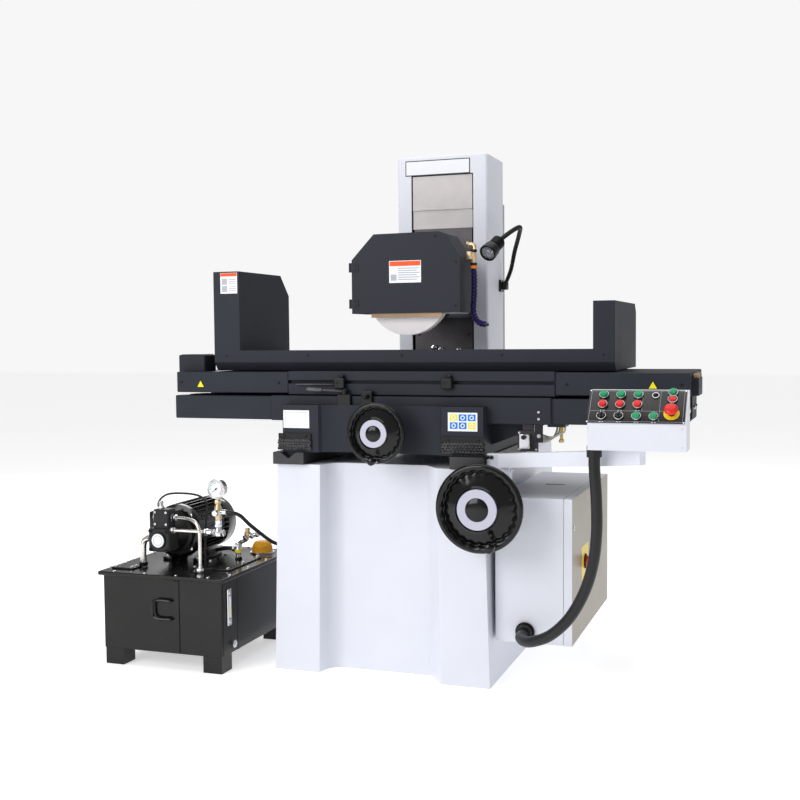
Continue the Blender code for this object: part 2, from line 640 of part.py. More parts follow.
def make_handwheels():
    make_handwheel("cross_handwheel", CROSS_WHEEL, CROSS_WHEEL_R, 0.042, 0.012)
    make_handle("cross_handle", CROSS_WHEEL, CROSS_WHEEL_R, 0.042, -88, 0.011)
    start = CROSS_WHEEL.y + 0.042 * 0.9 + GAP
    at = Vector((CROSS_WHEEL.x, start, CROSS_WHEEL.z))
    finish("cross_screw", rod(at, (at.x, FRONT + 0.53, at.z), 0.0125, 20), STEEL, at)
    make_handwheel("elevating_handwheel", LIFT_WHEEL, LIFT_WHEEL_R, 0.052, 0.014)
    make_handle("elevating_handle", LIFT_WHEEL, LIFT_WHEEL_R, 0.052, -68, 0.013)
    gearbox = box((LIFT_WHEEL.x - 0.050, FRONT - 0.0525, LIFT_WHEEL.z - 0.045),
                  (LIFT_WHEEL.x + 0.050, FRONT - GAP, LIFT_WHEEL.z + 0.045), 0.006)
    finish("elevating_gearbox", gearbox, PAINT_WHITE)


def make_cabinet():
    (x0, x1), (y0, y1), (z0, z1) = CABINET_X, CABINET_Y, CABINET_Z
    shell = finish("electrical_cabinet", box((x0, y0, z0), (x1, y1, z1), 0.002), PAINT_WHITE)
    cut(shell, box((x0 + WALL, y0 + WALL, z0 + WALL), (x1 + 0.1, y1 - WALL, z1 - WALL)))
    hinge = (x1 + 0.004, y1 + 0.006, z0)
    door = finish("cabinet_door", box((x1 + GAP, y0, z0), (CABINET_DOOR_X, y1, z1), 0.002), BEIGE, hinge)
    rim = 0.012
    cut(door, box((x1 - 0.1, y0 + rim, z0 + rim), (CABINET_DOOR_X - WALL, y1 - rim, z1 - rim)))
    at = Vector((CABINET_DOOR_X + GAP, FRONT + 0.285, 0.400))
    plate = [(0, 0), (0.026, 0), (0.026, 0.008), (0.018, 0.010), (0.016, 0.030), (0, 0.030)]
    switch = finish("main_switch", turned(plate, at, (1, 0, 0), 20), RED, at)
    join(switch, box((at.x + 0.02, at.y - 0.006, at.z - 0.022), (at.x + 0.036, at.y + 0.006, at.z + 0.022)))


def slope_frame():
    """The panel's lower left corner, its up-slope direction and its normal."""
    rise = Vector((0, BOX_CREST_Y - BOX_Y[0], BOX_TOP - BOX_LIP))
    up = rise.normalized()
    return Vector((BOX_X[0], BOX_Y[0], BOX_LIP)), up, Vector((0, -up.z, up.y)), rise.length


def on_panel(x, run, lift):
    """A point over the sloping panel."""
    corner, up, out, _ = slope_frame()
    return Vector((x, corner.y, corner.z)) + up * run + out * lift


def control_layout():
    """(name, kind, x, run up the slope, colour) of each control."""
    columns = (0.812, 0.864, 0.916, 0.967, 1.018)
    rows = (0.027, 0.071, 0.109)
    made = [(f"start_button_{n + 1}", "push", columns[n], rows[2], GREEN) for n in range(3)]
    made += [(f"stop_button_{n + 1}", "push", columns[n], rows[1], RED) for n in range(3)]
    made += [(f"selector_switch_{n + 1}", "turn", columns[n], rows[0], BLACK) for n in range(2)]
    made += [(f"jog_button_{n + 1}", "push", columns[n + 2], rows[0], GREEN) for n in range(2)]
    made += [("hydraulics_start_button", "push", columns[4], rows[2] + 0.010, GREEN),
             ("hydraulics_stop_button", "flat", columns[4], rows[2] - 0.016, RED),
             ("emergency_stop", "mushroom", columns[4], rows[0] + 0.014, RED)]
    return made


CONTROL_HEADS = {
    "push": [(0, BUTTON_LIFT), (BUTTON_R, BUTTON_LIFT), (BUTTON_R, BUTTON_HEAD), (0, BUTTON_HEAD)],
    "flat": [(0, BUTTON_LIFT), (BUTTON_R, BUTTON_LIFT), (BUTTON_R, 0.0105), (0, 0.0105)],
    "turn": [(0, BUTTON_LIFT), (BUTTON_R, BUTTON_LIFT), (BUTTON_R, 0.014), (0, 0.014)],
    "mushroom": [(0, 0.006), (0.0095, 0.006), (0.011, 0.016), (0.020, 0.019), (0.0205, 0.025),
                 (0.016, 0.031), (0, 0.0325)],
}


def make_control_box():
    (x0, x1), (y0, y1) = BOX_X, BOX_Y
    profile = [(y0, BOX_BOTTOM), (y1, BOX_BOTTOM), (y1, BOX_TOP), (BOX_CREST_Y, BOX_TOP), (y0, BOX_LIP)]
    case = finish("control_box", prism(profile, "X", x0, x1), PAINT_WHITE)
    gland = (0.785, FRONT - 0.200)
    join(case, rod((*gland, BOX_BOTTOM + 0.01), (*gland, BOX_BOTTOM - 0.026), 0.0235, 20))
    _, up, out, length = slope_frame()
    plate = box((x0 + 0.006, 0.005, GAP), (x1 - 0.006, length - 0.004, GAP + PANEL_THICK))
    corner = on_panel(0.0, 0.0, 0.0)
    turn = Matrix(((1, 0, 0), (0, up.y, out.y), (0, up.z, out.z))).to_4x4()
    bmesh.ops.transform(plate, matrix=Matrix.Translation(corner) @ turn, verts=plate.verts)
    panel = finish("control_panel", plate, BLACK)
    for name, kind, x, run, spec in control_layout():
        foot = on_panel(x, run, 0.0)
        if kind != "mushroom":
            lift = PANEL_THICK * 0.5
            tall = BEZEL_HEIGHT
            ends = (on_panel(x, run, lift), on_panel(x, run, lift + tall))
            join(panel, ring(*ends, BEZEL_R, BEZEL_BORE_R, 16))
        head = [(radius, height + PANEL_THICK) for radius, height in CONTROL_HEADS[kind]]
        obj = finish(name, turned(head, foot, out, 16), spec, on_panel(x, run, BUTTON_LIFT))
        if kind == "turn":
            grip = box((x - 0.003, -0.0105, 0.012), (x + 0.003, 0.0105, 0.024))
            place = Matrix.Translation(on_panel(0.0, run, 0.0)) @ turn
            bmesh.ops.transform(grip, matrix=place, verts=grip.verts)
            join(obj, grip)


def make_control_arm():
    bracket = box((0.3885, FRONT + 0.002, 0.690), (0.470, FRONT + 0.040, 0.800), 0.003)
    arm = finish("control_arm", bracket, PAINT_WHITE)
    join(arm, box((0.3835, FRONT + 0.004, 0.694), (0.400, FRONT + 0.038, 0.740)))
    start = Vector((0.440, FRONT + 0.005, 0.778))
    end = Vector((0.930, FRONT - 0.190, 0.822))
    along = end - start
    side = Vector((along.y, -along.x, 0)).normalized() * 0.018
    bm = bmesh.new()
    corners = [start - side, start + side, end + side, end - side]
    face = bm.faces.new([bm.verts.new(point + Vector((0, 0, -0.0235))) for point in corners])
    made = bmesh.ops.extrude_face_region(bm, geom=[face])
    moved = [item for item in made["geom"] if isinstance(item, bmesh.types.BMVert)]
    bmesh.ops.translate(bm, verts=moved, vec=(0, 0, 0.047))
    join(arm, bm)


CONDUIT_ROUTE = [
    (0.785, FRONT - 0.200, 0.8195), (0.785, FRONT - 0.200, 0.800), (0.787, FRONT - 0.200, 0.760),
    (0.791, FRONT - 0.197, 0.690),
    (0.791, FRONT - 0.190, 0.590), (0.779, FRONT - 0.180, 0.490), (0.750, FRONT - 0.170, 0.395),
    (0.700, FRONT - 0.158, 0.305), (0.635, FRONT - 0.140, 0.240), (0.570, FRONT - 0.112, 0.207),
    (0.535, FRONT - 0.079, 0.198), (0.512, FRONT - 0.030, 0.195), (0.510, FRONT + 0.005, 0.195),
    (0.510, FRONT + 0.0185, 0.195),
]
CONDUIT_R = 0.018

HOSE_ROUTE = [
    (-0.5647, FRONT - 0.040, 0.566), (-0.550, FRONT - 0.040, 0.566), (-0.533, FRONT - 0.028, 0.561),
    (-0.525, FRONT - 0.002, 0.546), (-0.520, FRONT + 0.050, 0.510), (-0.506, FRONT + 0.115, 0.465),
    (-0.490, FRONT + 0.170, 0.428),
    (-0.471, FRONT + 0.222, 0.405), (-0.450, FRONT + 0.259, 0.397), (-0.425, FRONT + 0.270, 0.395),
    (-0.414, FRONT + 0.270, 0.395), (-0.4025, FRONT + 0.270, 0.395),
]
HOSE_R = 0.007
HOSE_PORT = (FRONT + 0.270, 0.395)


def make_cords():
    gland_y = FRONT + 0.05 - GAP
    gland = rod((0.510, gland_y, 0.195), (0.510, FRONT + 0.019, 0.195), 0.027, 20)
    finish("conduit_gland", gland, RUBBER)
    cord("conduit_hose", CONDUIT_ROUTE, CONDUIT_R, 0.045, RUBBER)


def make_lamp():
    side = MID_X + COLUMN_HALF + GAP
    foot = box((side, FRONT + 0.85, 1.372), (side + 0.030, FRONT + 0.905, 1.420), 0.003)
    arm = finish("lamp_arm", foot, BLACK)
    route = [(side + 0.020, FRONT + 0.875, 1.40), (0.262, FRONT + 0.870, 1.46), (0.285, FRONT + 0.840, 1.53),
             (0.320, FRONT + 0.770, 1.590), (0.345, FRONT + 0.680, 1.612), (0.335, FRONT + 0.590, 1.590),
             (0.312, FRONT + 0.520, 1.556)]
    join(arm, swept(route, 0.0075, 0.016, 12))
    joint = Vector((0.3105, FRONT + 0.5155, 1.5535))
    aim = Vector((-0.030, -0.085, -0.058)).normalized()
    length = 0.105
    profile = [(0, 0.006), (0.012, 0.006), (0.022, 0.014), (0.0255, 0.028), (0.0255, 0.045),
               (0.0325, 0.062), (0.0325, length), (0.0275, length), (0.024, 0.080), (0, 0.078)]
    head = turned(profile, joint, aim, 24)
    finish("lamp_head", head, BLACK, joint)


def make_power_unit():
    (x0, x1), (y0, y1) = TANK_X, TANK_Y
    tank = finish("hydraulic_tank", box((x0, y0, TANK_BOTTOM), (x1, y1, TANK_TOP), 0.002), BLACK)
    cut(tank, box((x0 + WALL, y0 + WALL, TANK_BOTTOM + WALL), (x1 - WALL, y1 - WALL, TANK_TOP + 0.1)))
    leg = 0.075
    inset = 0.003
    for x in (x0 + inset, x1 - leg - inset):
        for y in (y0 + inset, y1 - leg - inset):
            join(tank, box((x, y, 0.0), (x + leg, y + leg, TANK_BOTTOM + 0.002)))
    lid = box((x0 - LID_LIP, y0 - LID_LIP, TANK_TOP + GAP), (x1 + LID_LIP, y1 + LID_LIP, LID_TOP), 0.003)
    finish("tank_lid", lid, BLACK)
    make_motor()
    make_pump()
    cap_at = Vector((-0.620, FRONT + 0.350, LID_TOP + GAP))
    cap = [(0, 0), (0.045, 0), (0.045, 0.006), (0.034, 0.008), (0.033, 0.036), (0.026, 0.042), (0, 0.042)]
    finish("filler_cap", turned(cap, cap_at, (0, 0, 1), 24), YELLOW, cap_at)


def make_motor():
    axis = Vector((MOTOR_X, FRONT + 0.072, MOTOR_Z))
    r = MOTOR_R
    profile = [(0, 0), (0.085, 0), (r, 0.010), (r, 0.235), (r * 0.97, 0.240), (r * 0.97, 0.290),
               (r * 0.80, 0.308), (0, 0.308)]
    motor = finish("hydraulic_motor", turned(profile, axis, (0, 1, 0), 32), BLACK)
    for x in (MOTOR_X - 0.085, MOTOR_X + 0.045):
        foot = box((x, FRONT + 0.11, LID_TOP + GAP), (x + 0.040, FRONT + 0.27, MOTOR_Z - r * 0.82), 0.001)
        join(motor, foot)
    terminals = (MOTOR_X - 0.155, FRONT + 0.13, MOTOR_Z - 0.02)
    join(motor, box(terminals, (MOTOR_X - 0.09, FRONT + 0.22, MOTOR_Z + 0.06), 0.003))


def make_pump():
    x, y, z = MOTOR_X, PUMP_Y, MOTOR_Z - 0.012
    body = box((x - 0.043, y, z - 0.043), (x + 0.043, y + 0.070, z + 0.043), 0.004)
    pump = finish("hydraulic_pump", body, BLACK)
    bell = [(0, -0.005), (0.045, -0.005), (0.070, 0.030), (0.080, 0.034), (0.080, 0.0567), (0, 0.0567)]
    head = box((x - 0.028, y + 0.012, z + 0.035), (x + 0.034, y + 0.066, z + 0.112), 0.003)
    join(pump, turned(bell, (x, FRONT + 0.015, MOTOR_Z), (0, 1, 0), 24), head)
    join(pump, rod((x, y + 0.002, z), (x, y - 0.006, z), 0.030, 24))
    suction = swept([(x - 0.088, FRONT - 0.020, LID_TOP + GAP), (x - 0.088, FRONT - 0.020, 0.400),
                     (x - 0.084, FRONT - 0.020, 0.438), (x - 0.062, FRONT - 0.020, z),
                     (x - 0.040, FRONT - 0.020, z), (x - 0.020, FRONT - 0.020, z)], 0.012, 0.016, 12)
    join(pump, suction)
    start = (x + 0.0343 + GAP, FRONT - 0.015, z + 0.080)
    drop = (-0.665, FRONT - 0.062)
    pipe = swept([start, (x + 0.050, FRONT - 0.015, z + 0.080), (-0.740, FRONT - 0.026, z + 0.080),
                  (-0.690, FRONT - 0.054, z + 0.076), (-0.669, FRONT - 0.061, z + 0.055), (*drop, z + 0.02),
                  (*drop, LID_TOP + 0.03), (*drop, LID_TOP + GAP)], 0.0065, 0.012, 10)
    finish("pressure_pipe", pipe, STEEL)
    stem_x, stem_y = -0.600, FRONT - 0.040
    cross = rod((x + 0.043 + GAP, stem_y, 0.490), (-0.575, stem_y, 0.490), 0.007, 12)
    gauge = finish("pressure_gauge", cross, STEEL)
    stem = [(0, 0.480), (0.011, 0.480), (0.011, 0.515), (0.015, 0.520), (0.015, 0.555), (0.009, 0.560),
            (0.009, 0.622), (0, 0.622)]
    dial = [(0, -0.016), (0.030, -0.016), (0.036, -0.014), (0.036, 0.014), (0, 0.016)]
    join(gauge, turned(stem, (stem_x, stem_y, 0), (0, 0, 1), 16))
    join(gauge, turned(dial, (stem_x, stem_y, 0.651), (0, 1, 0), 24))
    join(gauge, rod((stem_x, stem_y, 0.566), (-0.565, stem_y, 0.566), 0.009, 12))
    cord("hydraulic_hose", HOSE_ROUTE, HOSE_R, 0.018, RUBBER)


def main():
    clear_scene()
    make_base()
    make_column()
    make_way_covers()
    make_wheelhead()
    make_wheel_guard()
    make_spindle()
    make_coolant_line()
    make_saddle()
    make_cylinder()
    make_reverse_lever()
    make_table()
    make_table_wings()
    make_splash_guard()
    make_trip_dogs()
    make_handwheels()
    make_cabinet()
    make_control_box()
    make_control_arm()
    make_cords()
    make_lamp()
    make_power_unit()


main()
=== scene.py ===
"""Finishes, detail, cords, camera and light for a column surface grinder and its hydraulic power unit.

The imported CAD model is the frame. Metres, +Z up, +X to the operator's right, +Y away from the operator.
"""

import json
import logging
import math
from collections.abc import Callable, Iterable, Sequence
from dataclasses import dataclass, field
from enum import Enum
from typing import Any

import bmesh
import bpy
from mathutils import Matrix, Vector

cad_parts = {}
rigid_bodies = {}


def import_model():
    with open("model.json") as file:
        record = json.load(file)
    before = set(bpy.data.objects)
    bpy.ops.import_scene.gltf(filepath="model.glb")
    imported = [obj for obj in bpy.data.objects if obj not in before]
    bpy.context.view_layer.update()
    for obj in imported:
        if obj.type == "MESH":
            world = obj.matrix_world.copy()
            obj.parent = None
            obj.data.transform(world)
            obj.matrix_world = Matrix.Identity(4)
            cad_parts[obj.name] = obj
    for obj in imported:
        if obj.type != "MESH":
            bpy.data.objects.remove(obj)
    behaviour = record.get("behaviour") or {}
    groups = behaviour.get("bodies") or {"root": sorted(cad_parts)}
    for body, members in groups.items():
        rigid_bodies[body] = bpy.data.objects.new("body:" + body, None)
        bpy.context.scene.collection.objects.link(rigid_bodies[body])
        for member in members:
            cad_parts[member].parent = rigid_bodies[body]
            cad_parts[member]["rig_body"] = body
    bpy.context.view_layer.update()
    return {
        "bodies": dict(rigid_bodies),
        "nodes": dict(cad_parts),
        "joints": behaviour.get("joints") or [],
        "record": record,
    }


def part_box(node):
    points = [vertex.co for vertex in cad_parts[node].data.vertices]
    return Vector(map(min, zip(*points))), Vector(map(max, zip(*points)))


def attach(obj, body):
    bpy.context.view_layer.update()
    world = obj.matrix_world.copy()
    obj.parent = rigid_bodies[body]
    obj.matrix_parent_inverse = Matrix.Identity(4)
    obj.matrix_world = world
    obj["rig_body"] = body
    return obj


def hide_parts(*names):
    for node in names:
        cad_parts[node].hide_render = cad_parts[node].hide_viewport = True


LOG = logging.getLogger("grinder")

Triple = tuple[float, float, float]
Pair = tuple[float, float]
Mesh = bmesh.types.BMesh

FRONT = -0.55
UP: Triple = (0.0, 0.0, 1.0)
TOWARDS: Triple = (0.0, -1.0, 0.0)
AWAY: Triple = (0.0, 1.0, 0.0)
RIGHT: Triple = (1.0, 0.0, 0.0)
LEFT: Triple = (-1.0, 0.0, 0.0)


class Pattern(Enum):
    """How a finish's surface is figured."""

    EVEN = "even"
    SPECKLED = "speckled"
    TURNED = "turned"
    WOVEN = "woven"


@dataclass(frozen=True)
class Finish:
    """A procedural finish, drawn on Object coordinates.

    The grain is the noise frequency along X, Y and Z per metre, so unequal values give a brushed look.
    """

    name: str
    slot: str
    color: Triple
    roughness: float
    metallic: float = 0.0
    spread: float = 0.06
    mottle: float = 0.05
    mottle_scale: float = 7.0
    grain: Triple = (260.0, 260.0, 260.0)
    bump: float = 0.04
    coat: float = 0.0
    specular: float = 0.5
    pattern: Pattern = Pattern.EVEN

    def build(self) -> bpy.types.Material:
        """Makes the node material.

        Returns:
            The finished material.
        """
        material = bpy.data.materials.new(self.name)
        material.use_nodes = True
        tree = material.node_tree
        shader = tree.nodes["Principled BSDF"]
        shader.inputs["Metallic"].default_value = self.metallic
        shader.inputs["Coat Weight"].default_value = self.coat
        shader.inputs["Coat Roughness"].default_value = 0.06
        shader.inputs["Specular IOR Level"].default_value = self.specular
        place = tree.nodes.new("ShaderNodeTexCoord")
        fine = self._noise(tree, place, self.grain, 1.0, 3.0)
        broad = self._noise(tree, place, (1.0, 1.0, 1.0), self.mottle_scale, 4.0)
        self._link_color(tree, shader, place, broad)
        rough = tree.nodes.new("ShaderNodeMapRange")
        rough.inputs["From Min"].default_value = 0.3
        rough.inputs["From Max"].default_value = 0.7
        rough.inputs["To Min"].default_value = max(0.02, self.roughness - self.spread)
        rough.inputs["To Max"].default_value = min(1.0, self.roughness + self.spread)
        both = tree.nodes.new("ShaderNodeMix")
        both.inputs["Factor"].default_value = 0.45
        tree.links.new(fine, both.inputs["A"])
        tree.links.new(broad, both.inputs["B"])
        tree.links.new(both.outputs["Result"], rough.inputs["Value"])
        tree.links.new(rough.outputs["Result"], shader.inputs["Roughness"])
        bump = tree.nodes.new("ShaderNodeBump")
        bump.inputs["Strength"].default_value = self.bump
        bump.inputs["Distance"].default_value = 0.001
        height = self._height(tree, place, fine)
        tree.links.new(height, bump.inputs["Height"])
        tree.links.new(bump.outputs["Normal"], shader.inputs["Normal"])
        return material

    def _noise(
        self, tree: bpy.types.NodeTree, place: bpy.types.Node, scale: Triple, size: float, detail: float
    ) -> bpy.types.NodeSocket:
        """Adds a noise on Object coordinates.

        Args:
            tree: The material's node tree.
            place: Its texture coordinate node.
            scale: The stretch along each axis.
            size: The noise scale.
            detail: The noise detail.

        Returns:
            The noise's factor socket.
        """
        mapping = tree.nodes.new("ShaderNodeMapping")
        mapping.inputs["Scale"].default_value = scale
        tree.links.new(place.outputs["Object"], mapping.inputs["Vector"])
        noise = tree.nodes.new("ShaderNodeTexNoise")
        noise.inputs["Scale"].default_value = size
        noise.inputs["Detail"].default_value = detail
        tree.links.new(mapping.outputs["Vector"], noise.inputs["Vector"])
        return noise.outputs["Fac"]

    def _link_color(
        self,
        tree: bpy.types.NodeTree,
        shader: bpy.types.Node,
        place: bpy.types.Node,
        broad: bpy.types.NodeSocket,
    ) -> None:
        """Runs the colour variation into the shader.

        Args:
            tree: The material's node tree.
            shader: Its shader node.
            place: Its texture coordinate node.
            broad: The broad noise.
        """
        ramp = tree.nodes.new("ShaderNodeValToRGB")
        low, high = ramp.color_ramp.elements[0], ramp.color_ramp.elements[1]
        low.position, high.position = 0.32, 0.68
        low.color = (*(c * (1.0 - self.mottle) for c in self.color), 1.0)
        high.color = (*(min(1.0, c * (1.0 + self.mottle)) for c in self.color), 1.0)
        source = broad
        if self.pattern is Pattern.SPECKLED:
            speck = tree.nodes.new("ShaderNodeTexVoronoi")
            speck.inputs["Scale"].default_value = 900.0
            tree.links.new(place.outputs["Object"], speck.inputs["Vector"])
            blend = tree.nodes.new("ShaderNodeMix")
            blend.inputs["Factor"].default_value = 0.5
            tree.links.new(broad, blend.inputs["A"])
            tree.links.new(speck.outputs["Distance"], blend.inputs["B"])
            source = blend.outputs["Result"]
        tree.links.new(source, ramp.inputs["Fac"])
        tree.links.new(ramp.outputs["Color"], shader.inputs["Base Color"])

    def _height(
        self, tree: bpy.types.NodeTree, place: bpy.types.Node, fine: bpy.types.NodeSocket
    ) -> bpy.types.NodeSocket:
        """Picks what the bump follows.

        Args:
            tree: The material's node tree.
            place: Its texture coordinate node.
            fine: The fine noise.

        Returns:
            The socket that carries the height.
        """
        if self.pattern is Pattern.WOVEN:
            wave = tree.nodes.new("ShaderNodeTexWave")
            wave.wave_type = "BANDS"
            wave.bands_direction = "DIAGONAL"
            wave.inputs["Scale"].default_value = 60.0
            tree.links.new(place.outputs["Object"], wave.inputs["Vector"])
            return wave.outputs["Fac"]
        if self.pattern is Pattern.TURNED:
            rings = tree.nodes.new("ShaderNodeTexWave")
            rings.wave_type = "RINGS"
            rings.rings_direction = "Y"
            rings.inputs["Scale"].default_value = 180.0
            rings.inputs["Distortion"].default_value = 2.0
            tree.links.new(place.outputs["Object"], rings.inputs["Vector"])
            return rings.outputs["Fac"]
        return fine


WHITE = Finish("white_enamel", "paint_white", (0.7, 0.72, 0.79), 0.34, mottle=0.015, bump=0.03,
               specular=0.35)
CHARCOAL = Finish("charcoal_enamel", "paint_dark", (0.026, 0.029, 0.038), 0.48, mottle=0.06, bump=0.05,
                  specular=0.12)
CHARCOAL_SHADE = Finish("charcoal_inside", "paint_dark", (0.01, 0.011, 0.014), 0.6, bump=0.05, specular=0.15)
# grey enamel of the column's rear cover and the cabinet's mounting plate; the same grey is also painted
# light on a strip of the charcoal wheel guard's underside
REAR_GREY_AND_PAINTED_LIGHT = Finish("rear_grey_enamel_and_painted_light", "paint_grey", (0.36, 0.36, 0.38), 0.42, mottle=0.03, specular=0.35)
# painted shade and warm reflection: the door's side is white enamel like the cabinet, drawn as a dim warm
# beige
SHADED_SIDE_WHITE = Finish("white_enamel_painted_shade", "beige", (0.3, 0.265, 0.21), 0.36, mottle=0.03, specular=0.35)
GLOSS_BLACK = Finish("gloss_black", "black_gloss", (0.003, 0.003, 0.0035), 0.16, spread=0.05, bump=0.02,
                     coat=0.1, specular=0.3)
TANK_BLACK = Finish("tank_black", "black_gloss", (0.009, 0.008, 0.0075), 0.18, spread=0.06, mottle=0.3,
                    bump=0.05, coat=0.05, specular=0.26)
CAST_BLACK = Finish("cast_black", "black_gloss", (0.01, 0.01, 0.011), 0.44, spread=0.1, mottle=0.3,
                    grain=(420.0, 420.0, 420.0), bump=0.25, specular=0.35)
SATIN_BLACK = Finish("satin_black", "black_gloss", (0.007, 0.007, 0.008), 0.36, spread=0.08, bump=0.06,
                     specular=0.28)
RUBBER = Finish("conduit_rubber", "rubber", (0.009, 0.009, 0.01), 0.4, spread=0.08, mottle=0.2, bump=0.06,
                specular=0.35)
STEEL = Finish("plated_steel", "steel", (0.72, 0.72, 0.74), 0.2, metallic=1.0, spread=0.07, mottle=0.08)
PIPE_STEEL = Finish("pipe_steel", "steel", (0.66, 0.64, 0.6), 0.24, metallic=1.0, spread=0.08, mottle=0.14)
GROUND_STEEL = Finish("ground_steel", "steel", (0.56, 0.56, 0.57), 0.3, metallic=1.0, spread=0.08,
                      grain=(6.0, 900.0, 900.0), bump=0.1)
BRUSHED = Finish("brushed_stainless", "stainless", (0.47, 0.44, 0.44), 0.5, metallic=0.3, spread=0.1,
                 mottle=0.16, mottle_scale=5.0, grain=(14.0, 700.0, 900.0), bump=0.12)
DARK_STEEL = Finish("oiled_cover_steel", "stainless", (0.055, 0.05, 0.056), 0.38, metallic=0.6, spread=0.12,
                    mottle=0.45, grain=(14.0, 700.0, 900.0), bump=0.1)
KNURLED = Finish("knurled_grip", "steel", (0.16, 0.16, 0.165), 0.36, metallic=0.8, spread=0.1, mottle=0.3,
                 bump=0.3)
WAY_IRON = Finish("way_iron", "cast_iron", (0.04, 0.039, 0.041), 0.45, metallic=0.5, spread=0.12, mottle=0.3,
                  grain=(420.0, 420.0, 420.0), bump=0.22)
ANODISED = Finish("anodised_ring", "black_gloss", (0.48, 0.48, 0.58), 0.36, metallic=0.3, mottle=0.02,
                  grain=(300.0, 300.0, 300.0), bump=0.03)
WHEEL_GRIT = Finish("wheel_grit", "abrasive", (0.88, 0.85, 0.86), 0.92, mottle=0.04, bump=0.5, specular=0.1,
                    grain=(1500.0, 1500.0, 1500.0), pattern=Pattern.SPECKLED)
# tan felt on the right wing's end pads; the same tan is also painted shade in a strip in front of the
# grinding wheel's top
TAN_FELT_AND_SHADE = Finish("tan_felt_and_painted_shade", "abrasive", (0.36, 0.25, 0.16), 0.9, mottle=0.3, bump=0.3, specular=0.1)
BRASS = Finish("cast_brass", "brass", (0.62, 0.48, 0.3), 0.34, metallic=0.8, spread=0.1, mottle=0.2,
               bump=0.12)
HOSE_BLUE = Finish("segment_hose", "brass", (0.016, 0.006, 0.075), 0.32, spread=0.06, mottle=0.15,
                   specular=0.3)
ORANGE = Finish("orange_nut", "brass", (0.92, 0.25, 0.02), 0.38, bump=0.05, specular=0.3)
RED_CAP = Finish("red_cap", "red", (0.72, 0.018, 0.016), 0.3, mottle=0.04, specular=0.4)
GREEN_CAP = Finish("green_cap", "green", (0.008, 0.3, 0.12), 0.3, mottle=0.04, specular=0.4)
YELLOW_RING = Finish("yellow_ring", "yellow", (0.9, 0.68, 0.02), 0.38, mottle=0.04, specular=0.3)
FILLER_YELLOW = Finish("filler_yellow", "yellow", (0.9, 0.42, 0.015), 0.38, mottle=0.1, bump=0.1,
                       specular=0.3)
LABEL_WHITE = Finish("label_white", "paint_white", (0.84, 0.86, 0.9), 0.42, mottle=0.01, specular=0.2)
LABEL_GREY = Finish("label_grey", "paint_white", (0.42, 0.44, 0.5), 0.42, mottle=0.03, specular=0.2)
LABEL_ORANGE = Finish("label_orange", "paint_white", (0.92, 0.1, 0.02), 0.42, mottle=0.03, specular=0.2)
LABEL_BLUE = Finish("label_blue", "paint_white", (0.015, 0.2, 0.66), 0.42, mottle=0.03, specular=0.2)
LABEL_YELLOW = Finish("label_yellow", "paint_white", (0.88, 0.76, 0.02), 0.42, mottle=0.03, specular=0.2)
LABEL_BLACK = Finish("label_black", "paint_white", (0.008, 0.008, 0.01), 0.42, specular=0.2)
LABEL_GREEN = Finish("label_green", "paint_white", (0.05, 0.5, 0.32), 0.42, specular=0.2)
PANEL_GREY = Finish("panel_film", "black_gloss", (0.022, 0.02, 0.019), 0.26, spread=0.06, mottle=0.5,
                    mottle_scale=9.0, specular=0.35)
CLEAR_TUBE = Finish("clear_tube", "rubber", (0.42, 0.4, 0.36), 0.2, mottle=0.15, coat=0.3)
AMBER_TUBE = Finish("amber_tube", "rubber", (0.62, 0.42, 0.06), 0.25, mottle=0.12)
LENS = Finish("lamp_lens", "black_gloss", (0.66, 0.7, 0.72), 0.1, metallic=0.6, mottle=0.3,
              mottle_scale=120.0, coat=0.6)
BRAID = Finish("braided_wiper", "black_gloss", (0.055, 0.055, 0.058), 0.34, metallic=0.7, spread=0.12,
               mottle=0.5, mottle_scale=160.0, bump=0.6, pattern=Pattern.WOVEN)
FLOOR = Finish("pale_floor", "paint_white", (0.93, 0.93, 0.935), 0.6, mottle=0.008, mottle_scale=0.6,
               bump=0.01, specular=0.2)


def clean(bm: Mesh) -> Mesh:
    """Merges doubles and turns every face outwards.

    Args:
        bm: The mesh to clean.

    Returns:
        The same mesh.
    """
    bmesh.ops.remove_doubles(bm, verts=bm.verts, dist=1e-6)
    bmesh.ops.recalc_face_normals(bm, faces=bm.faces)
    return bm


def round_edges(bm: Mesh, width: float, segments: int = 2, least: float = 30.0) -> Mesh:
    """Bevels the edges that turn by more than an angle.

    Args:
        bm: The mesh to bevel.
        width: The bevel's offset.
        segments: How many faces it has.
        least: The smallest angle that is bevelled, in degrees.

    Returns:
        The same mesh.
    """
    if width > 0.0:
        sharp = [e for e in bm.edges if len(e.link_faces) == 2
                 and e.calc_face_angle(0.0) > math.radians(least)]
        bmesh.ops.bevel(bm, geom=sharp, offset=width, offset_type="OFFSET", segments=segments, profile=0.5,
                        affect="EDGES", clamp_overlap=True, material=-1)
    return bm


def aimed(at: Iterable[float], direction: Iterable[float]) -> Matrix:
    """The matrix that stands local +Z along a direction.

    Args:
        at: Where the local origin goes.
        direction: Where local +Z points.

    Returns:
        The 4 by 4 matrix.
    """
    turn = Vector(direction).to_track_quat("Z", "Y").to_matrix().to_4x4()
    return Matrix.Translation(Vector(at)) @ turn


def moved(bm: Mesh, matrix: Matrix) -> Mesh:
    """Applies a matrix to a mesh and returns it."""
    bmesh.ops.transform(bm, matrix=matrix, verts=bm.verts)
    return bm


def slab(low: Iterable[float], high: Iterable[float], bevel: float = 0.0, segments: int = 2) -> Mesh:
    """A block between two corners with rounded edges.

    Args:
        low: The lowest corner.
        high: The highest corner.
        bevel: The rounding's width.
        segments: The rounding's faces.

    Returns:
        The block.
    """
    low, high = Vector(low), Vector(high)
    bm = bmesh.new()
    bmesh.ops.create_cube(bm, size=1.0)
    bmesh.ops.scale(bm, vec=high - low, verts=bm.verts)
    bmesh.ops.translate(bm, vec=(low + high) / 2, verts=bm.verts)
    return round_edges(bm, bevel, segments)


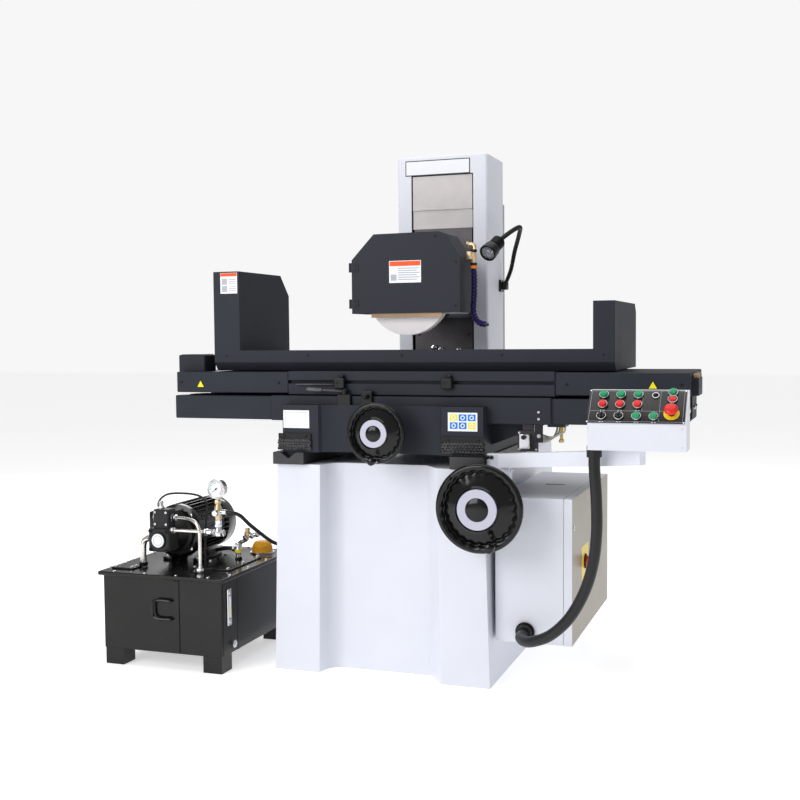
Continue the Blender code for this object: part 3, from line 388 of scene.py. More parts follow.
def spun(corners: Sequence[Pair], at: Iterable[float], direction: Iterable[float], steps: int) -> Mesh:
    """Turns a chain of corners about an axis.

    Args:
        corners: (radius, height) pairs. A chain that ends where it starts is a closed section.
        at: The foot of the axis.
        direction: Where the axis points.
        steps: How many faces go round.

    Returns:
        The mesh.
    """
    bm = bmesh.new()
    closed = corners[0] == corners[-1]
    distinct = corners[:-1] if closed else corners
    verts = [bm.verts.new((radius, 0.0, height)) for radius, height in distinct]
    following = verts[1:] + verts[:1] if closed else verts[1:]
    edges = [bm.edges.new(pair) for pair in zip(verts, following)]
    bmesh.ops.spin(bm, geom=verts + edges, cent=(0, 0, 0), axis=(0, 0, 1), angle=2 * math.pi,
                   steps=steps, use_merge=True)
    return moved(clean(bm), aimed(at, direction))


def lathe(profile: Sequence[Pair], at: Iterable[float], direction: Iterable[float], steps: int = 40) -> Mesh:
    """A closed solid of revolution.

    Args:
        profile: (radius, height) pairs that start and end on the axis.
        at: The foot of the axis.
        direction: Where the axis points.
        steps: How many faces go round.

    Returns:
        The solid.
    """
    return spun(profile, at, direction, steps)


def ring(outer: float, inner: float, height: float, at: Iterable[float], direction: Iterable[float],
         steps: int = 32, lip: float = 0.0) -> Mesh:
    """A flat ring with softened outer and inner edges.

    Args:
        outer: The outer radius.
        inner: The bore's radius.
        height: The ring's height along its axis.
        at: The foot of the axis.
        direction: Where the axis points.
        steps: How many faces go round.
        lip: The softening's width.

    Returns:
        The ring.
    """
    lip = lip or min(height, outer - inner) * 0.2
    corners = [(inner, lip), (inner, height - lip), (inner + lip, height), (outer - lip, height),
               (outer, height - lip), (outer, lip), (outer - lip, 0.0), (inner + lip, 0.0)]
    return spun([*corners, corners[0]], at, direction, steps)


def plate(outline: Sequence[Iterable[float]], thickness: Iterable[float], bevel: float = 0.0) -> Mesh:
    """A flat outline given a thickness.

    Args:
        outline: The corners, in order, in one plane.
        thickness: The vector that the outline is extruded along.
        bevel: The rounding's width.

    Returns:
        The plate.
    """
    bm = bmesh.new()
    face = bm.faces.new([bm.verts.new(Vector(point)) for point in outline])
    made = bmesh.ops.extrude_face_region(bm, geom=[face], use_keep_orig=True)
    top = [item for item in made["geom"] if isinstance(item, bmesh.types.BMVert)]
    bmesh.ops.translate(bm, vec=Vector(thickness), verts=top)
    return round_edges(clean(bm), bevel)


def smooth_route(points: Sequence[Iterable[float]], spacing: float) -> list[Vector]:
    """Points at an even spacing on a Catmull-Rom curve through a route.

    Args:
        points: The route's points.
        spacing: The distance between the points wanted.

    Returns:
        The points, ends included, with the end stretches square to the route's ends.
    """
    route = [Vector(point) for point in points]
    ends = [2 * route[0] - route[1]] + route + [2 * route[-1] - route[-2]]
    fine = []
    for a, b, c, d in zip(ends, ends[1:], ends[2:], ends[3:]):
        for step in range(24):
            t = step / 24
            fine.append(0.5 * (2 * b + (c - a) * t + (2 * a - 5 * b + 4 * c - d) * t**2
                               + (3 * b - a - 3 * c + d) * t**3))
    fine.append(route[-1])
    total = sum((q - p).length for p, q in zip(fine, fine[1:]))
    count = max(2, round(total / spacing))
    picked, run = [fine[0]], 0.0
    for p, q in zip(fine, fine[1:]):
        run += (q - p).length
        if run >= len(picked) * total / count and len(picked) < count:
            picked.append(q)
    picked.append(fine[-1])
    first = (route[1] - route[0]).normalized()
    last = (route[-2] - route[-1]).normalized()
    picked[1] = picked[0] + first * (picked[1] - picked[0]).length
    picked[-2] = picked[-1] + last * (picked[-2] - picked[-1]).length
    return picked


def tube_curve(name: str, path: Sequence[Vector], radius: float, sides: int = 4) -> bpy.types.Object:
    """A round tube as a curve of one open spline.

    Args:
        name: The object's name.
        path: The points of its centreline.
        radius: Its radius.
        sides: A quarter of its sides, less one.

    Returns:
        The curve object.
    """
    curve = bpy.data.curves.new(name, "CURVE")
    curve.dimensions = "3D"
    curve.bevel_depth = radius
    curve.bevel_resolution = sides
    curve.use_fill_caps = True
    spline = curve.splines.new("POLY")
    spline.points.add(len(path) - 1)
    for point, place in zip(spline.points, path):
        point.co = (*place, 1.0)
    spline.use_smooth = True
    made = bpy.data.objects.new(name, curve)
    bpy.context.scene.collection.objects.link(made)
    return made


def tube(points: Sequence[Iterable[float]], radius: float, spacing: float = 0.006, sides: int = 3) -> Mesh:
    """A round tube along a smooth route, as a mesh.

    Args:
        points: The route's points.
        radius: The tube's radius.
        spacing: The distance between its rings.
        sides: A quarter of its sides, less one.

    Returns:
        The closed tube.
    """
    curve = tube_curve("route", smooth_route(points, spacing), radius, sides)
    bpy.context.view_layer.update()
    mesh = bpy.data.meshes.new_from_object(curve.evaluated_get(bpy.context.evaluated_depsgraph_get()))
    bm = bmesh.new()
    bm.from_mesh(mesh)
    bpy.data.meshes.remove(mesh)
    bpy.data.objects.remove(curve)
    return clean(bm)


def disc(radius: float, height: float, at: Iterable[float], direction: Iterable[float],
         steps: int = 24) -> Mesh:
    """A plain round disc that stands on a point."""
    return lathe([(0.0, height), (radius, height), (radius, 0.0), (0.0, 0.0)], at, direction, steps)


def screw_head(at: Iterable[float], direction: Iterable[float], radius: float, height: float) -> Mesh:
    """A socket cap screw's head with its recess."""
    profile = [(0.0, height * 0.45), (radius * 0.5, height * 0.45), (radius * 0.55, height),
               (radius * 0.9, height), (radius, height * 0.85), (radius, 0.0), (0.0, 0.0)]
    return lathe(profile, at, direction, 18)


def hex_nut(at: Iterable[float], direction: Iterable[float], across: float, height: float) -> Mesh:
    """A hexagonal nut or bolt head with its corners eased."""
    radius = across / math.sqrt(3.0)
    profile = [(0.0, height), (radius * 0.86, height), (radius, height * 0.82), (radius, height * 0.1),
               (radius * 0.93, 0.0), (0.0, 0.0)]
    return lathe(profile, at, direction, 6)


@dataclass
class Part:
    """A closed mesh and the finish that it wears."""

    mesh: Mesh
    finish: Finish


def screws(xs: Iterable[float], ys: Iterable[float], zs: Iterable[float], direction: Iterable[float],
           radius: float, height: float, finish: Finish) -> list[Part]:
    """Screw heads at every mix of the places given.

    Args:
        xs: Their places along X.
        ys: Their places along Y.
        zs: Their places along Z.
        direction: Where the heads point.
        radius: Each head's radius.
        height: Each head's height.
        finish: The finish that they wear.

    Returns:
        The parts, one for each screw.
    """
    return [Part(screw_head((x, y, z), direction, radius, height), finish) for x in xs for y in ys
            for z in zs]


@dataclass
class Bench:
    """Joins parts into named pieces, finishes them and gives them to the frame."""

    frame: dict[str, Any]
    materials: dict[str, bpy.types.Material] = field(default_factory=dict)

    def material(self, finish: Finish) -> bpy.types.Material:
        """The material of a finish, made once."""
        if finish.name not in self.materials:
            self.materials[finish.name] = finish.build()
        return self.materials[finish.name]

    def body_of(self, node: str) -> str:
        """The body that a CAD node rides on."""
        return self.frame["nodes"][node]["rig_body"]

    def make(self, name: str, body: str, parts: Sequence[Part], *nodes: str, smooth: float = 34.0,
             level: bool = False) -> bpy.types.Object:
        """Joins parts into one piece that rides on a body.

        Args:
            name: The piece's name.
            body: The body that it rides on.
            parts: Its meshes with their finishes.
            nodes: The CAD nodes that it stands for.
            smooth: The angle up to which shading is smooth, in degrees.
            level: Whether large faces keep their own normals.

        Returns:
            The piece.
        """
        mesh = bpy.data.meshes.new(name)
        whole = bmesh.new()
        slots: list[Finish] = []
        for part in parts:
            if part.finish not in slots:
                slots.append(part.finish)
            for face in part.mesh.faces:
                face.material_index = slots.index(part.finish)
            step = bpy.data.meshes.new("step")
            part.mesh.to_mesh(step)
            part.mesh.free()
            whole.from_mesh(step)
            bpy.data.meshes.remove(step)
        whole.to_mesh(mesh)
        whole.free()
        for finish in slots:
            mesh.materials.append(self.material(finish))
        mesh.polygons.foreach_set("use_smooth", [True] * len(mesh.polygons))
        mesh.set_sharp_from_angle(angle=math.radians(smooth))
        piece = bpy.data.objects.new(name, mesh)
        bpy.context.scene.collection.objects.link(piece)
        if level:
            weighted = piece.modifiers.new("level", "WEIGHTED_NORMAL")
            weighted.keep_sharp = True
            weighted.weight = 80
        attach(piece, body)
        if nodes:
            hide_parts(*nodes)
        LOG.info("%s rides on %s, %d faces", name, body, len(mesh.polygons))
        return piece

    def refined(self, node: str, finish: Finish, width: float = 0.0015, segments: int = 2) -> Part:
        """A merged copy of a CAD node with eased edges.

        Args:
            node: The CAD node.
            finish: What it wears.
            width: The easing's width.
            segments: The easing's faces.

        Returns:
            The copy as a part.
        """
        bm = bmesh.new()
        bm.from_mesh(self.frame["nodes"][node].data)
        bmesh.ops.remove_doubles(bm, verts=bm.verts, dist=2e-5)
        bmesh.ops.dissolve_limit(bm, angle_limit=math.radians(0.8), verts=bm.verts, edges=bm.edges)
        return Part(round_edges(bm, width, segments), finish)

    def refine(self, node: str, finish: Finish, width: float = 0.0015, segments: int = 2,
               extras: Sequence[Part] = (), accents: Sequence[tuple[Finish, Callable[[Any], bool]]] = (),
               ) -> bpy.types.Object:
        """Replaces a CAD node with its eased copy, extra parts and accent finishes on chosen faces.

        Args:
            node: The CAD node.
            finish: What it wears.
            width: The easing's width.
            segments: The easing's faces.
            extras: Further parts of the same piece.
            accents: Finishes, each with a test of the faces that wear it.

        Returns:
            The piece.
        """
        part = self.refined(node, finish, width, segments)
        piece = self.make(node + "_finished", self.body_of(node), [part, *extras], node, level=True)
        for accent, test in accents:
            piece.data.materials.append(self.material(accent))
            index = len(piece.data.materials) - 1
            for face in piece.data.polygons:
                if face.material_index == 0 and test(face):
                    face.material_index = index
        return piece


CONDUIT_ROUTE: tuple[Triple, ...] = (
    (0.785, FRONT - 0.2, 0.8195), (0.785, FRONT - 0.2, 0.8), (0.787, FRONT - 0.2, 0.76),
    (0.791, FRONT - 0.197, 0.69), (0.791, FRONT - 0.19, 0.59), (0.779, FRONT - 0.18, 0.49),
    (0.75, FRONT - 0.17, 0.395), (0.7, FRONT - 0.158, 0.305), (0.635, FRONT - 0.14, 0.24),
    (0.57, FRONT - 0.112, 0.207), (0.535, FRONT - 0.079, 0.198), (0.512, FRONT - 0.03, 0.195),
    (0.51, FRONT + 0.005, 0.195), (0.51, FRONT + 0.0185, 0.195),
)
HOSE_ROUTE: tuple[Triple, ...] = (
    (-0.5647, FRONT - 0.04, 0.566), (-0.55, FRONT - 0.04, 0.566), (-0.533, FRONT - 0.028, 0.561),
    (-0.525, FRONT - 0.002, 0.546), (-0.52, FRONT + 0.05, 0.51), (-0.506, FRONT + 0.115, 0.465),
    (-0.49, FRONT + 0.17, 0.428), (-0.471, FRONT + 0.222, 0.405), (-0.45, FRONT + 0.259, 0.397),
    (-0.425, FRONT + 0.27, 0.395), (-0.414, FRONT + 0.27, 0.395), (-0.4025, FRONT + 0.27, 0.395),
)


@dataclass
class Studio:
    """The camera, the soft light and the pale floor."""

    eye: Triple = (1.3734, -4.1891, 1.193)
    right: Triple = (0.94289, 0.333, -0.00887)
    up: Triple = (-0.01031, 0.05581, 0.99839)
    forward: Triple = (-0.33296, 0.94127, -0.05606)
    lens: float = 50.85
    sensor: float = 36.0
    floor_half: float = 30.0
    ambient: float = 0.42
    backdrop: float = 0.93
    floor_glow: float = 0.5

    def place_camera(self) -> None:
        """Makes the camera that stands at the operator's right."""
        data = bpy.data.cameras.new("camera")
        data.lens, data.sensor_width = self.lens, self.sensor
        data.clip_start, data.clip_end = 0.05, 200.0
        camera = bpy.data.objects.new("camera", data)
        rows = zip(self.right, self.up, (-value for value in self.forward), self.eye)
        camera.matrix_world = Matrix([*rows, (0.0, 0.0, 0.0, 1.0)])
        bpy.context.scene.collection.objects.link(camera)
        bpy.context.scene.camera = camera

    def soft_light(self, name: str, at: Triple, target: Triple, size: Pair, power: float,
                   color: Triple = (1.0, 1.0, 1.0)) -> None:
        """Adds one rectangular soft light.

        Args:
            name: Its name.
            at: Where it hangs.
            target: What it faces.
            size: Its width and height.
            power: Its power in watts.
            color: Its colour.
        """
        data = bpy.data.lights.new(name, "AREA")
        data.shape = "RECTANGLE"
        data.size, data.size_y = size
        data.energy = power
        data.color = color
        lamp = bpy.data.objects.new(name, data)
        lamp.location = at
        lamp.rotation_euler = (Vector(target) - Vector(at)).to_track_quat("-Z", "Y").to_euler()
        bpy.context.scene.collection.objects.link(lamp)

    def build(self, bench: "Bench") -> None:
        """Makes the floor, the lights and the world.

        Args:
            bench: Makes the floor's material.
        """
        half = self.floor_half
        mesh = bpy.data.meshes.new("floor")
        bm = bmesh.new()
        bmesh.ops.create_grid(bm, x_segments=8, y_segments=8, size=half)
        bm.to_mesh(mesh)
        bm.free()
        pale = bench.material(FLOOR)
        shader = pale.node_tree.nodes["Principled BSDF"]
        shader.inputs["Emission Color"].default_value = (1.0, 1.0, 1.0, 1.0)
        shader.inputs["Emission Strength"].default_value = self.floor_glow
        mesh.materials.append(pale)
        floor = bpy.data.objects.new("floor", mesh)
        bpy.context.scene.collection.objects.link(floor)
        self.soft_light("key", (-2.4, -5.4, 3.0), (0.0, 0.0, 0.8), (3.2, 3.2), 165.0)
        self.soft_light("top", (0.0, 0.2, 5.0), (0.0, 0.0, 0.6), (5.0, 5.0), 120.0)
        self.soft_light("rim", (-2.6, 4.4, 3.0), (0.0, 0.0, 1.0), (2.5, 2.5), 60.0)
        self.surround()

    def surround(self) -> None:
        """Makes the white surround, which looks brighter than it lights, and the plain colour response."""
        world = bpy.data.worlds.new("studio")
        world.use_nodes = True
        tree = world.node_tree
        rays = tree.nodes.new("ShaderNodeLightPath")
        strength = tree.nodes.new("ShaderNodeMapRange")
        strength.inputs["To Min"].default_value = self.ambient
        strength.inputs["To Max"].default_value = self.backdrop
        tree.links.new(rays.outputs["Is Camera Ray"], strength.inputs["Value"])
        tree.links.new(strength.outputs["Result"], tree.nodes["Background"].inputs["Strength"])
        tree.nodes["Background"].inputs["Color"].default_value = (1.0, 1.0, 1.0, 1.0)
        bpy.context.scene.world = world
        bpy.context.scene.view_settings.view_transform = "Standard"


@dataclass
class Cords:
    """The control conduit and the hydraulic hose, both fixed at each end."""

    bench: Bench
    conduit_radius: float = 0.018
    hose_radius: float = 0.007

    def lay(self, node: str, route: Sequence[Triple], radius: float, spacing: float) -> None:
        """Args:
            node: The CAD node that it stands for.
            route: The route's points.
            radius: The cord's radius.
            spacing: The distance between its curve's points.
        """
        path = smooth_route(route, spacing)
        piece = tube_curve(node + "_cord", path, radius, 6)
        piece.data.materials.append(self.bench.material(RUBBER))
        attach(piece, self.bench.body_of(node))
        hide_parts(node)

    def build(self) -> None:
        """Lays both cords."""
        self.lay("conduit_hose", CONDUIT_ROUTE, self.conduit_radius, 0.015)
        self.lay("hydraulic_hose", HOSE_ROUTE, self.hose_radius, 0.008)


@dataclass
class Base:
    """The base casting with its cross ways and the hose's port."""

    bench: Bench
    port: Triple = (-0.3985, FRONT + 0.27, 0.395)
    easing: float = 0.004

    def build(self) -> None:
        """Finishes the base and both ways."""
        low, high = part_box("base_casting")
        side = low.x + 0.008
        covers = [Part(slab((side - 0.01, 0.12, 0.2), (side, 0.4, 0.52), 0.003), WHITE)]
        covers += screws((side - 0.01,), (0.14, 0.38), (0.22, 0.5), LEFT, 0.006, 0.004, STEEL)
        covers.append(Part(hex_nut(self.port, LEFT, 0.026, 0.002), STEEL))
        self.bench.refine("base_casting", WHITE, self.easing, 3, covers)
        for node in ("cross_way_left", "cross_way_right"):
            low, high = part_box(node)
            bolts = [Part(screw_head(((low.x + high.x) / 2 + shift, low.y + 0.0005, low.z + 0.012), TOWARDS,
                                     0.0045, 0.001), DARK_STEEL) for shift in (-0.048, 0.048)]
            self.bench.refine(node, WAY_IRON, 0.0015, 2, bolts)


@dataclass
class Column:
    """The column with its slot, name plate, covers and elevating screw."""

    bench: Bench
    plate_low: Pair = (-0.122, 1.832)
    plate_high: Pair = (0.146, 1.892)
    thread_pitch: float = 0.008
    louvres: int = 9

    def build(self) -> None:
        """Finishes the column and what is fixed in and on it."""
        self.finish_casting()
        self.finish_covers()
        self.finish_screw()
        self.finish_rear()

    def finish_casting(self) -> None:
        """Adds the blank name plate and darkens the slot."""
        low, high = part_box("column")
        face = low.y
        (x0, z0), (x1, z1) = self.plate_low, self.plate_high
        border = 0.0035
        extras = [Part(slab((x0, face - 0.0012, z0), (x1, face, z1), 0.0004), LABEL_BLACK),
                  Part(slab((x0 + border, face - 0.0016, z0 + border), (x1 - border, face, z1 - border),
                            0.0003), LABEL_WHITE)]
        extras += [Part(lathe([(0.0, 0.0012), (0.0016, 0.001), (0.0022, 0.0), (0.0, 0.0)],
                              (x, face - 0.0016, z), TOWARDS, 14), STEEL)
                   for x in (x0 + 0.01, x1 - 0.01) for z in (z0 + 0.01, z1 - 0.01)]
        half = (high.x - low.x) / 2 - 0.05
        middle = (high.x + low.x) / 2

        def in_slot(face_item: Any) -> bool:
            """True for the faces inside the slot."""
            centre = face_item.center
            between = low.y + 0.004 < centre.y < high.y - 0.03
            return between and abs(centre.x - middle) < half + 0.03 and centre.z < high.z - 0.05

        self.bench.refine("column", WHITE, 0.002, 2, extras, [(WAY_IRON, in_slot)])

    def finish_covers(self) -> None:
        """Folds the two telescopic way covers' edges."""
        for node in ("way_cover_top", "way_cover_middle"):
            low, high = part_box(node)
            lip = slab((low.x, low.y - 0.0008, low.z), (high.x, high.y - 0.001, low.z + 0.01), 0.0006)
            self.bench.refine(node, BRUSHED, 0.0006, 2, [Part(lip, BRUSHED)])

    def finish_screw(self) -> None:
        """Cuts the elevating screw's thread as close rings."""
        low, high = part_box("elevating_screw")
        radius = (high.x - low.x) / 2
        length = high.z - low.z
        turns = int(length / self.thread_pitch)
        profile: list[Pair] = [(0.0, 0.0), (radius * 0.86, 0.0)]
        for turn in range(turns):
            foot = (turn + 0.15) * self.thread_pitch
            profile += [(radius * 0.86, foot), (radius, foot + 0.0022), (radius, foot + 0.0038),
                        (radius * 0.86, foot + 0.006)]
        profile += [(radius * 0.86, length), (0.0, length)]
        at = ((low.x + high.x) / 2, (low.y + high.y) / 2, low.z)
        self.bench.make("elevating_screw_threaded", "elevating_screw_body",
                        [Part(lathe(profile, at, UP, 28), STEEL)], "elevating_screw")

    def finish_rear(self) -> None:
        """Gives the rear cover its louvres and screws."""
        low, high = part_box("column_rear_cover")
        extras = []
        for row in range(self.louvres):
            z = high.z - 0.12 - row * 0.022
            extras.append(Part(slab((low.x + 0.09, high.y - 0.001, z),
                                    (high.x - 0.09, high.y + 0.0035, z + 0.01), 0.002), REAR_GREY_AND_PAINTED_LIGHT))
            extras.append(Part(slab((low.x + 0.094, high.y, z - 0.004),
                                    (high.x - 0.094, high.y + 0.0006, z)), CHARCOAL_SHADE))
        extras += screws((low.x + 0.02, high.x - 0.02), (high.y,), (low.z + 0.04, 1.1, 1.42, high.z - 0.03),
                         AWAY, 0.006, 0.004, STEEL)
        self.bench.refine("column_rear_cover", REAR_GREY_AND_PAINTED_LIGHT, 0.001, 2, extras)


@dataclass
class GrindingHead:
    """The wheelhead with its guard, wheel, spindle and coolant line."""

    bench: Bench
    axis: Triple = (0.03, FRONT + 0.27, 1.352)
    wheel_radius: float = 0.154
    wheel_width: float = 0.04
    bore_radius: float = 0.0635
    coolant_x: float = 0.266
    ball_radius: float = 0.0112
    label_low: Pair = (-0.025, 1.386)
    label_high: Pair = (0.096, 1.465)

    def build(self) -> None:
        """Finishes every piece of the head."""
        self.finish_head()
        self.finish_guard()
        self.finish_wheel()
        self.finish_coolant()

    def finish_head(self) -> None:
        """Dresses the slide's apron plates and the chrome fittings under the guard."""
        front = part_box("column")[0].y + 0.012
        extras = []
        for x, z, reach in ((-0.008, 1.147, 0.011), (0.02, 1.14, 0.009), (0.096, 1.14, 0.009)):
            extras.append(Part(hex_nut((x, front, z), TOWARDS, reach * 2, 0.012), STEEL))
            extras.append(Part(lathe([(0.0, 0.024), (reach * 0.55, 0.022), (reach * 0.6, 0.0), (0.0, 0.0)],
                                     (x, front - 0.011, z), TOWARDS, 20), STEEL))
        extras.append(Part(tube([(0.02, front - 0.026, 1.14), (0.045, front - 0.034, 1.132),
                                 (0.075, front - 0.034, 1.134), (0.096, front - 0.026, 1.14)], 0.0045),
                           STEEL))
        extras += screws((-0.075, 0.135), (front - 0.0002,), (1.64, 1.2, 1.00), TOWARDS, 0.005, 0.003,
                         CAST_BLACK)
        extras.append(Part(slab((-0.05, -0.165, 1.503), (0.11, 0.1, 1.509), 0.002), CHARCOAL))
        extras += screws((-0.04, 0.1), (-0.15, 0.085), (1.509,), UP, 0.005, 0.004, STEEL)
        extras.append(Part(lathe([(0.0, 0.036), (0.05, 0.036), (0.058, 0.03), (0.0605, 0.02), (0.0605, 0.0),
                                  (0.0, 0.0)], (0.03, -0.01, 1.503), UP, 40), SATIN_BLACK))

        def on_apron(face: Any) -> bool:
            """True for the cover plates that slide in front of the column's slot."""
            return front - 0.002 < face.center.y < front + 0.0115 and abs(face.normal.y) > 0.3

        self.bench.refine("wheelhead", CHARCOAL, 0.0015, 2, extras, [(DARK_STEEL, on_apron)])

    def finish_guard(self) -> None:
        """Dresses the guard and its hinged door with a blank label and screws."""
        low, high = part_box("wheel_guard")
        # painted light: a grey strip on the charcoal guard's underside, right of the wheel, standing for the
        # lit underside
        painted_lit_underside = [Part(slab((0.165, low.y + 0.02, 1.274), (0.232, high.y - 0.02, 1.28), 0.001), REAR_GREY_AND_PAINTED_LIGHT)]
        self.bench.refine("wheel_guard", CHARCOAL, 0.0015, 2, painted_lit_underside)
        low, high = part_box("wheel_guard_door")
        face = low.y + 0.0022
        (x0, z0), (x1, z1) = self.label_low, self.label_high
        band = z1 - 0.019
        parts = [Part(slab((x0, face - 0.0008, z0), (x1, face + 0.0004, z1), 0.0002), LABEL_WHITE),
                 Part(slab((x0 + 0.002, face - 0.0011, band), (x1 - 0.002, face, z1 - 0.002)), LABEL_ORANGE)]
        parts += [Part(slab((x0 + 0.034, face - 0.0011, band - 0.01 - 0.008 * row),
                            (x1 - 0.006 - 0.01 * (row % 2), face, band - 0.0065 - 0.008 * row)), LABEL_GREY)
                  for row in range(6)]
        parts.append(Part(slab((x0 + 0.006, face - 0.0011, z0 + 0.008), (x0 + 0.028, face, z0 + 0.03)),
                          LABEL_GREY))
        # painted shade: a tan strip just in front of the wheel's top edge under the guard, standing for the
        # wheel's shaded band with warm bounce
        parts.append(Part(slab((-0.098, high.y - 0.0004, 1.262), (0.172, high.y + 0.0045, 1.281), 0.001),
                          TAN_FELT_AND_SHADE))
        for z in (1.296, 1.428):
            leaf = slab((low.x + 0.008, face - 0.0022, z + 0.002), (low.x + 0.038, face + 0.001, z + 0.032),
                        0.0008)
            parts.append(Part(leaf, CHARCOAL))
            parts += [Part(screw_head((low.x + 0.027, face - 0.0022, z + shift), TOWARDS, 0.0035, 0.0015),
                           SATIN_BLACK)
                      for shift in (0.01, 0.024)]
        for x, z in ((0.225, 1.3), (0.225, 1.455), (0.15, 1.548)):
            parts.append(Part(screw_head((x, face, z), TOWARDS, 0.0045, 0.002), SATIN_BLACK))
        self.bench.refine("wheel_guard_door", CHARCOAL, 0.001, 2, parts)

    def finish_wheel(self) -> None:
        """Turns the grinding wheel, its blotters and the spindle's flanges."""
        half = self.wheel_width / 2
        radius, bore = self.wheel_radius, self.bore_radius
        wheel = ring(radius, bore, self.wheel_width, (self.axis[0], self.axis[1] - half, self.axis[2]), AWAY,
                     96, 0.0012)
        blotters = [Part(ring(bore + 0.026, bore + 0.0145, 0.0009, (self.axis[0], y, self.axis[2]), AWAY, 64,
                              0.0002),
                         LABEL_GREY) for y in (self.axis[1] - half - 0.0007, self.axis[1] + half - 0.0002)]
        self.bench.make("grinding_wheel_dressed", "spindle_body", [Part(wheel, WHEEL_GRIT), *blotters],
                        "grinding_wheel")
        at = Vector(self.axis) - Vector((0.0, 0.046, 0.0))
        bolts = [Part(screw_head(at + Vector((0.052 * math.cos(turn), 0.017, 0.052 * math.sin(turn))),
                                 TOWARDS, 0.0042, 0.004), SATIN_BLACK)
                 for turn in (math.radians(60 * step) for step in range(6))]
        nut = Part(hex_nut(at + Vector((0, 0.004, 0)), TOWARDS, 0.036, 0.01), STEEL)
        self.bench.refine("spindle", STEEL, 0.0008, 2, [*bolts, nut])

    def finish_coolant(self) -> None:
        """Builds the coolant valve, elbow and segmented hose."""
        x, y = self.coolant_x, FRONT + 0.3
        bracket = slab((0.2403, y - 0.012, 1.468), (x - 0.004, y + 0.012, 1.496), 0.002)
        elbow = tube([(x + 0.002, y, 1.5), (x + 0.002, y, 1.514), (x - 0.006, y, 1.521),
                      (x - 0.02, y, 1.522)], 0.0075, 0.003)
        parts = [Part(bracket, BRASS), Part(elbow, BRASS),
                 Part(hex_nut((x - 0.018, y, 1.522), LEFT, 0.02, 0.008), BRASS),
                 Part(lathe([(0.0, 0.058), (0.007, 0.058), (0.0075, 0.05), (0.0098, 0.048), (0.0098, 0.01),
                             (0.008, 0.006), (0.0, 0.006)], (x, y, 1.444), UP, 28), BRASS)]
        parts += [Part(ring(0.0122, 0.0085, 0.009, (x, y, z), UP, 28), SATIN_BLACK) for z in (1.494, 1.446)]
        parts += [Part(ring(0.0108, 0.009, 0.0026, (x, y, 1.458 + 0.0052 * step), UP, 24), BRASS)
                  for step in range(7)]
        parts.append(Part(hex_nut((x, y, 1.434), UP, 0.022, 0.012), ORANGE))
        route = smooth_route([(x, y, 1.436), (x + 0.002, y, 1.4), (x + 0.001, y, 1.34),
                              (x - 0.002, y, 1.285),
                              (x + 0.01, y - 0.008, 1.252), (x + 0.032, y - 0.02, 1.237),
                              (x + 0.056, y - 0.03, 1.233)], 0.0125)
        r = self.ball_radius
        ball = [(0.0, r * 0.95), (r * 0.55, r * 0.95), (r * 0.8, r * 0.55), (r, r * 0.1),
                (r * 0.94, -r * 0.35), (r * 0.62, -r * 0.55), (0.0, -r * 0.55)]
        for here, after in zip(route, route[1:]):
            parts.append(Part(lathe(ball, here, here - after, 20), HOSE_BLUE))
        parts.append(Part(lathe([(0.0, 0.018), (0.0045, 0.018), (0.0085, 0.0), (0.0, 0.0)],
                                route[-2], route[-1] - route[-2], 20), HOSE_BLUE))
        self.bench.make("coolant_line_dressed", "head_body", parts, "coolant_line")


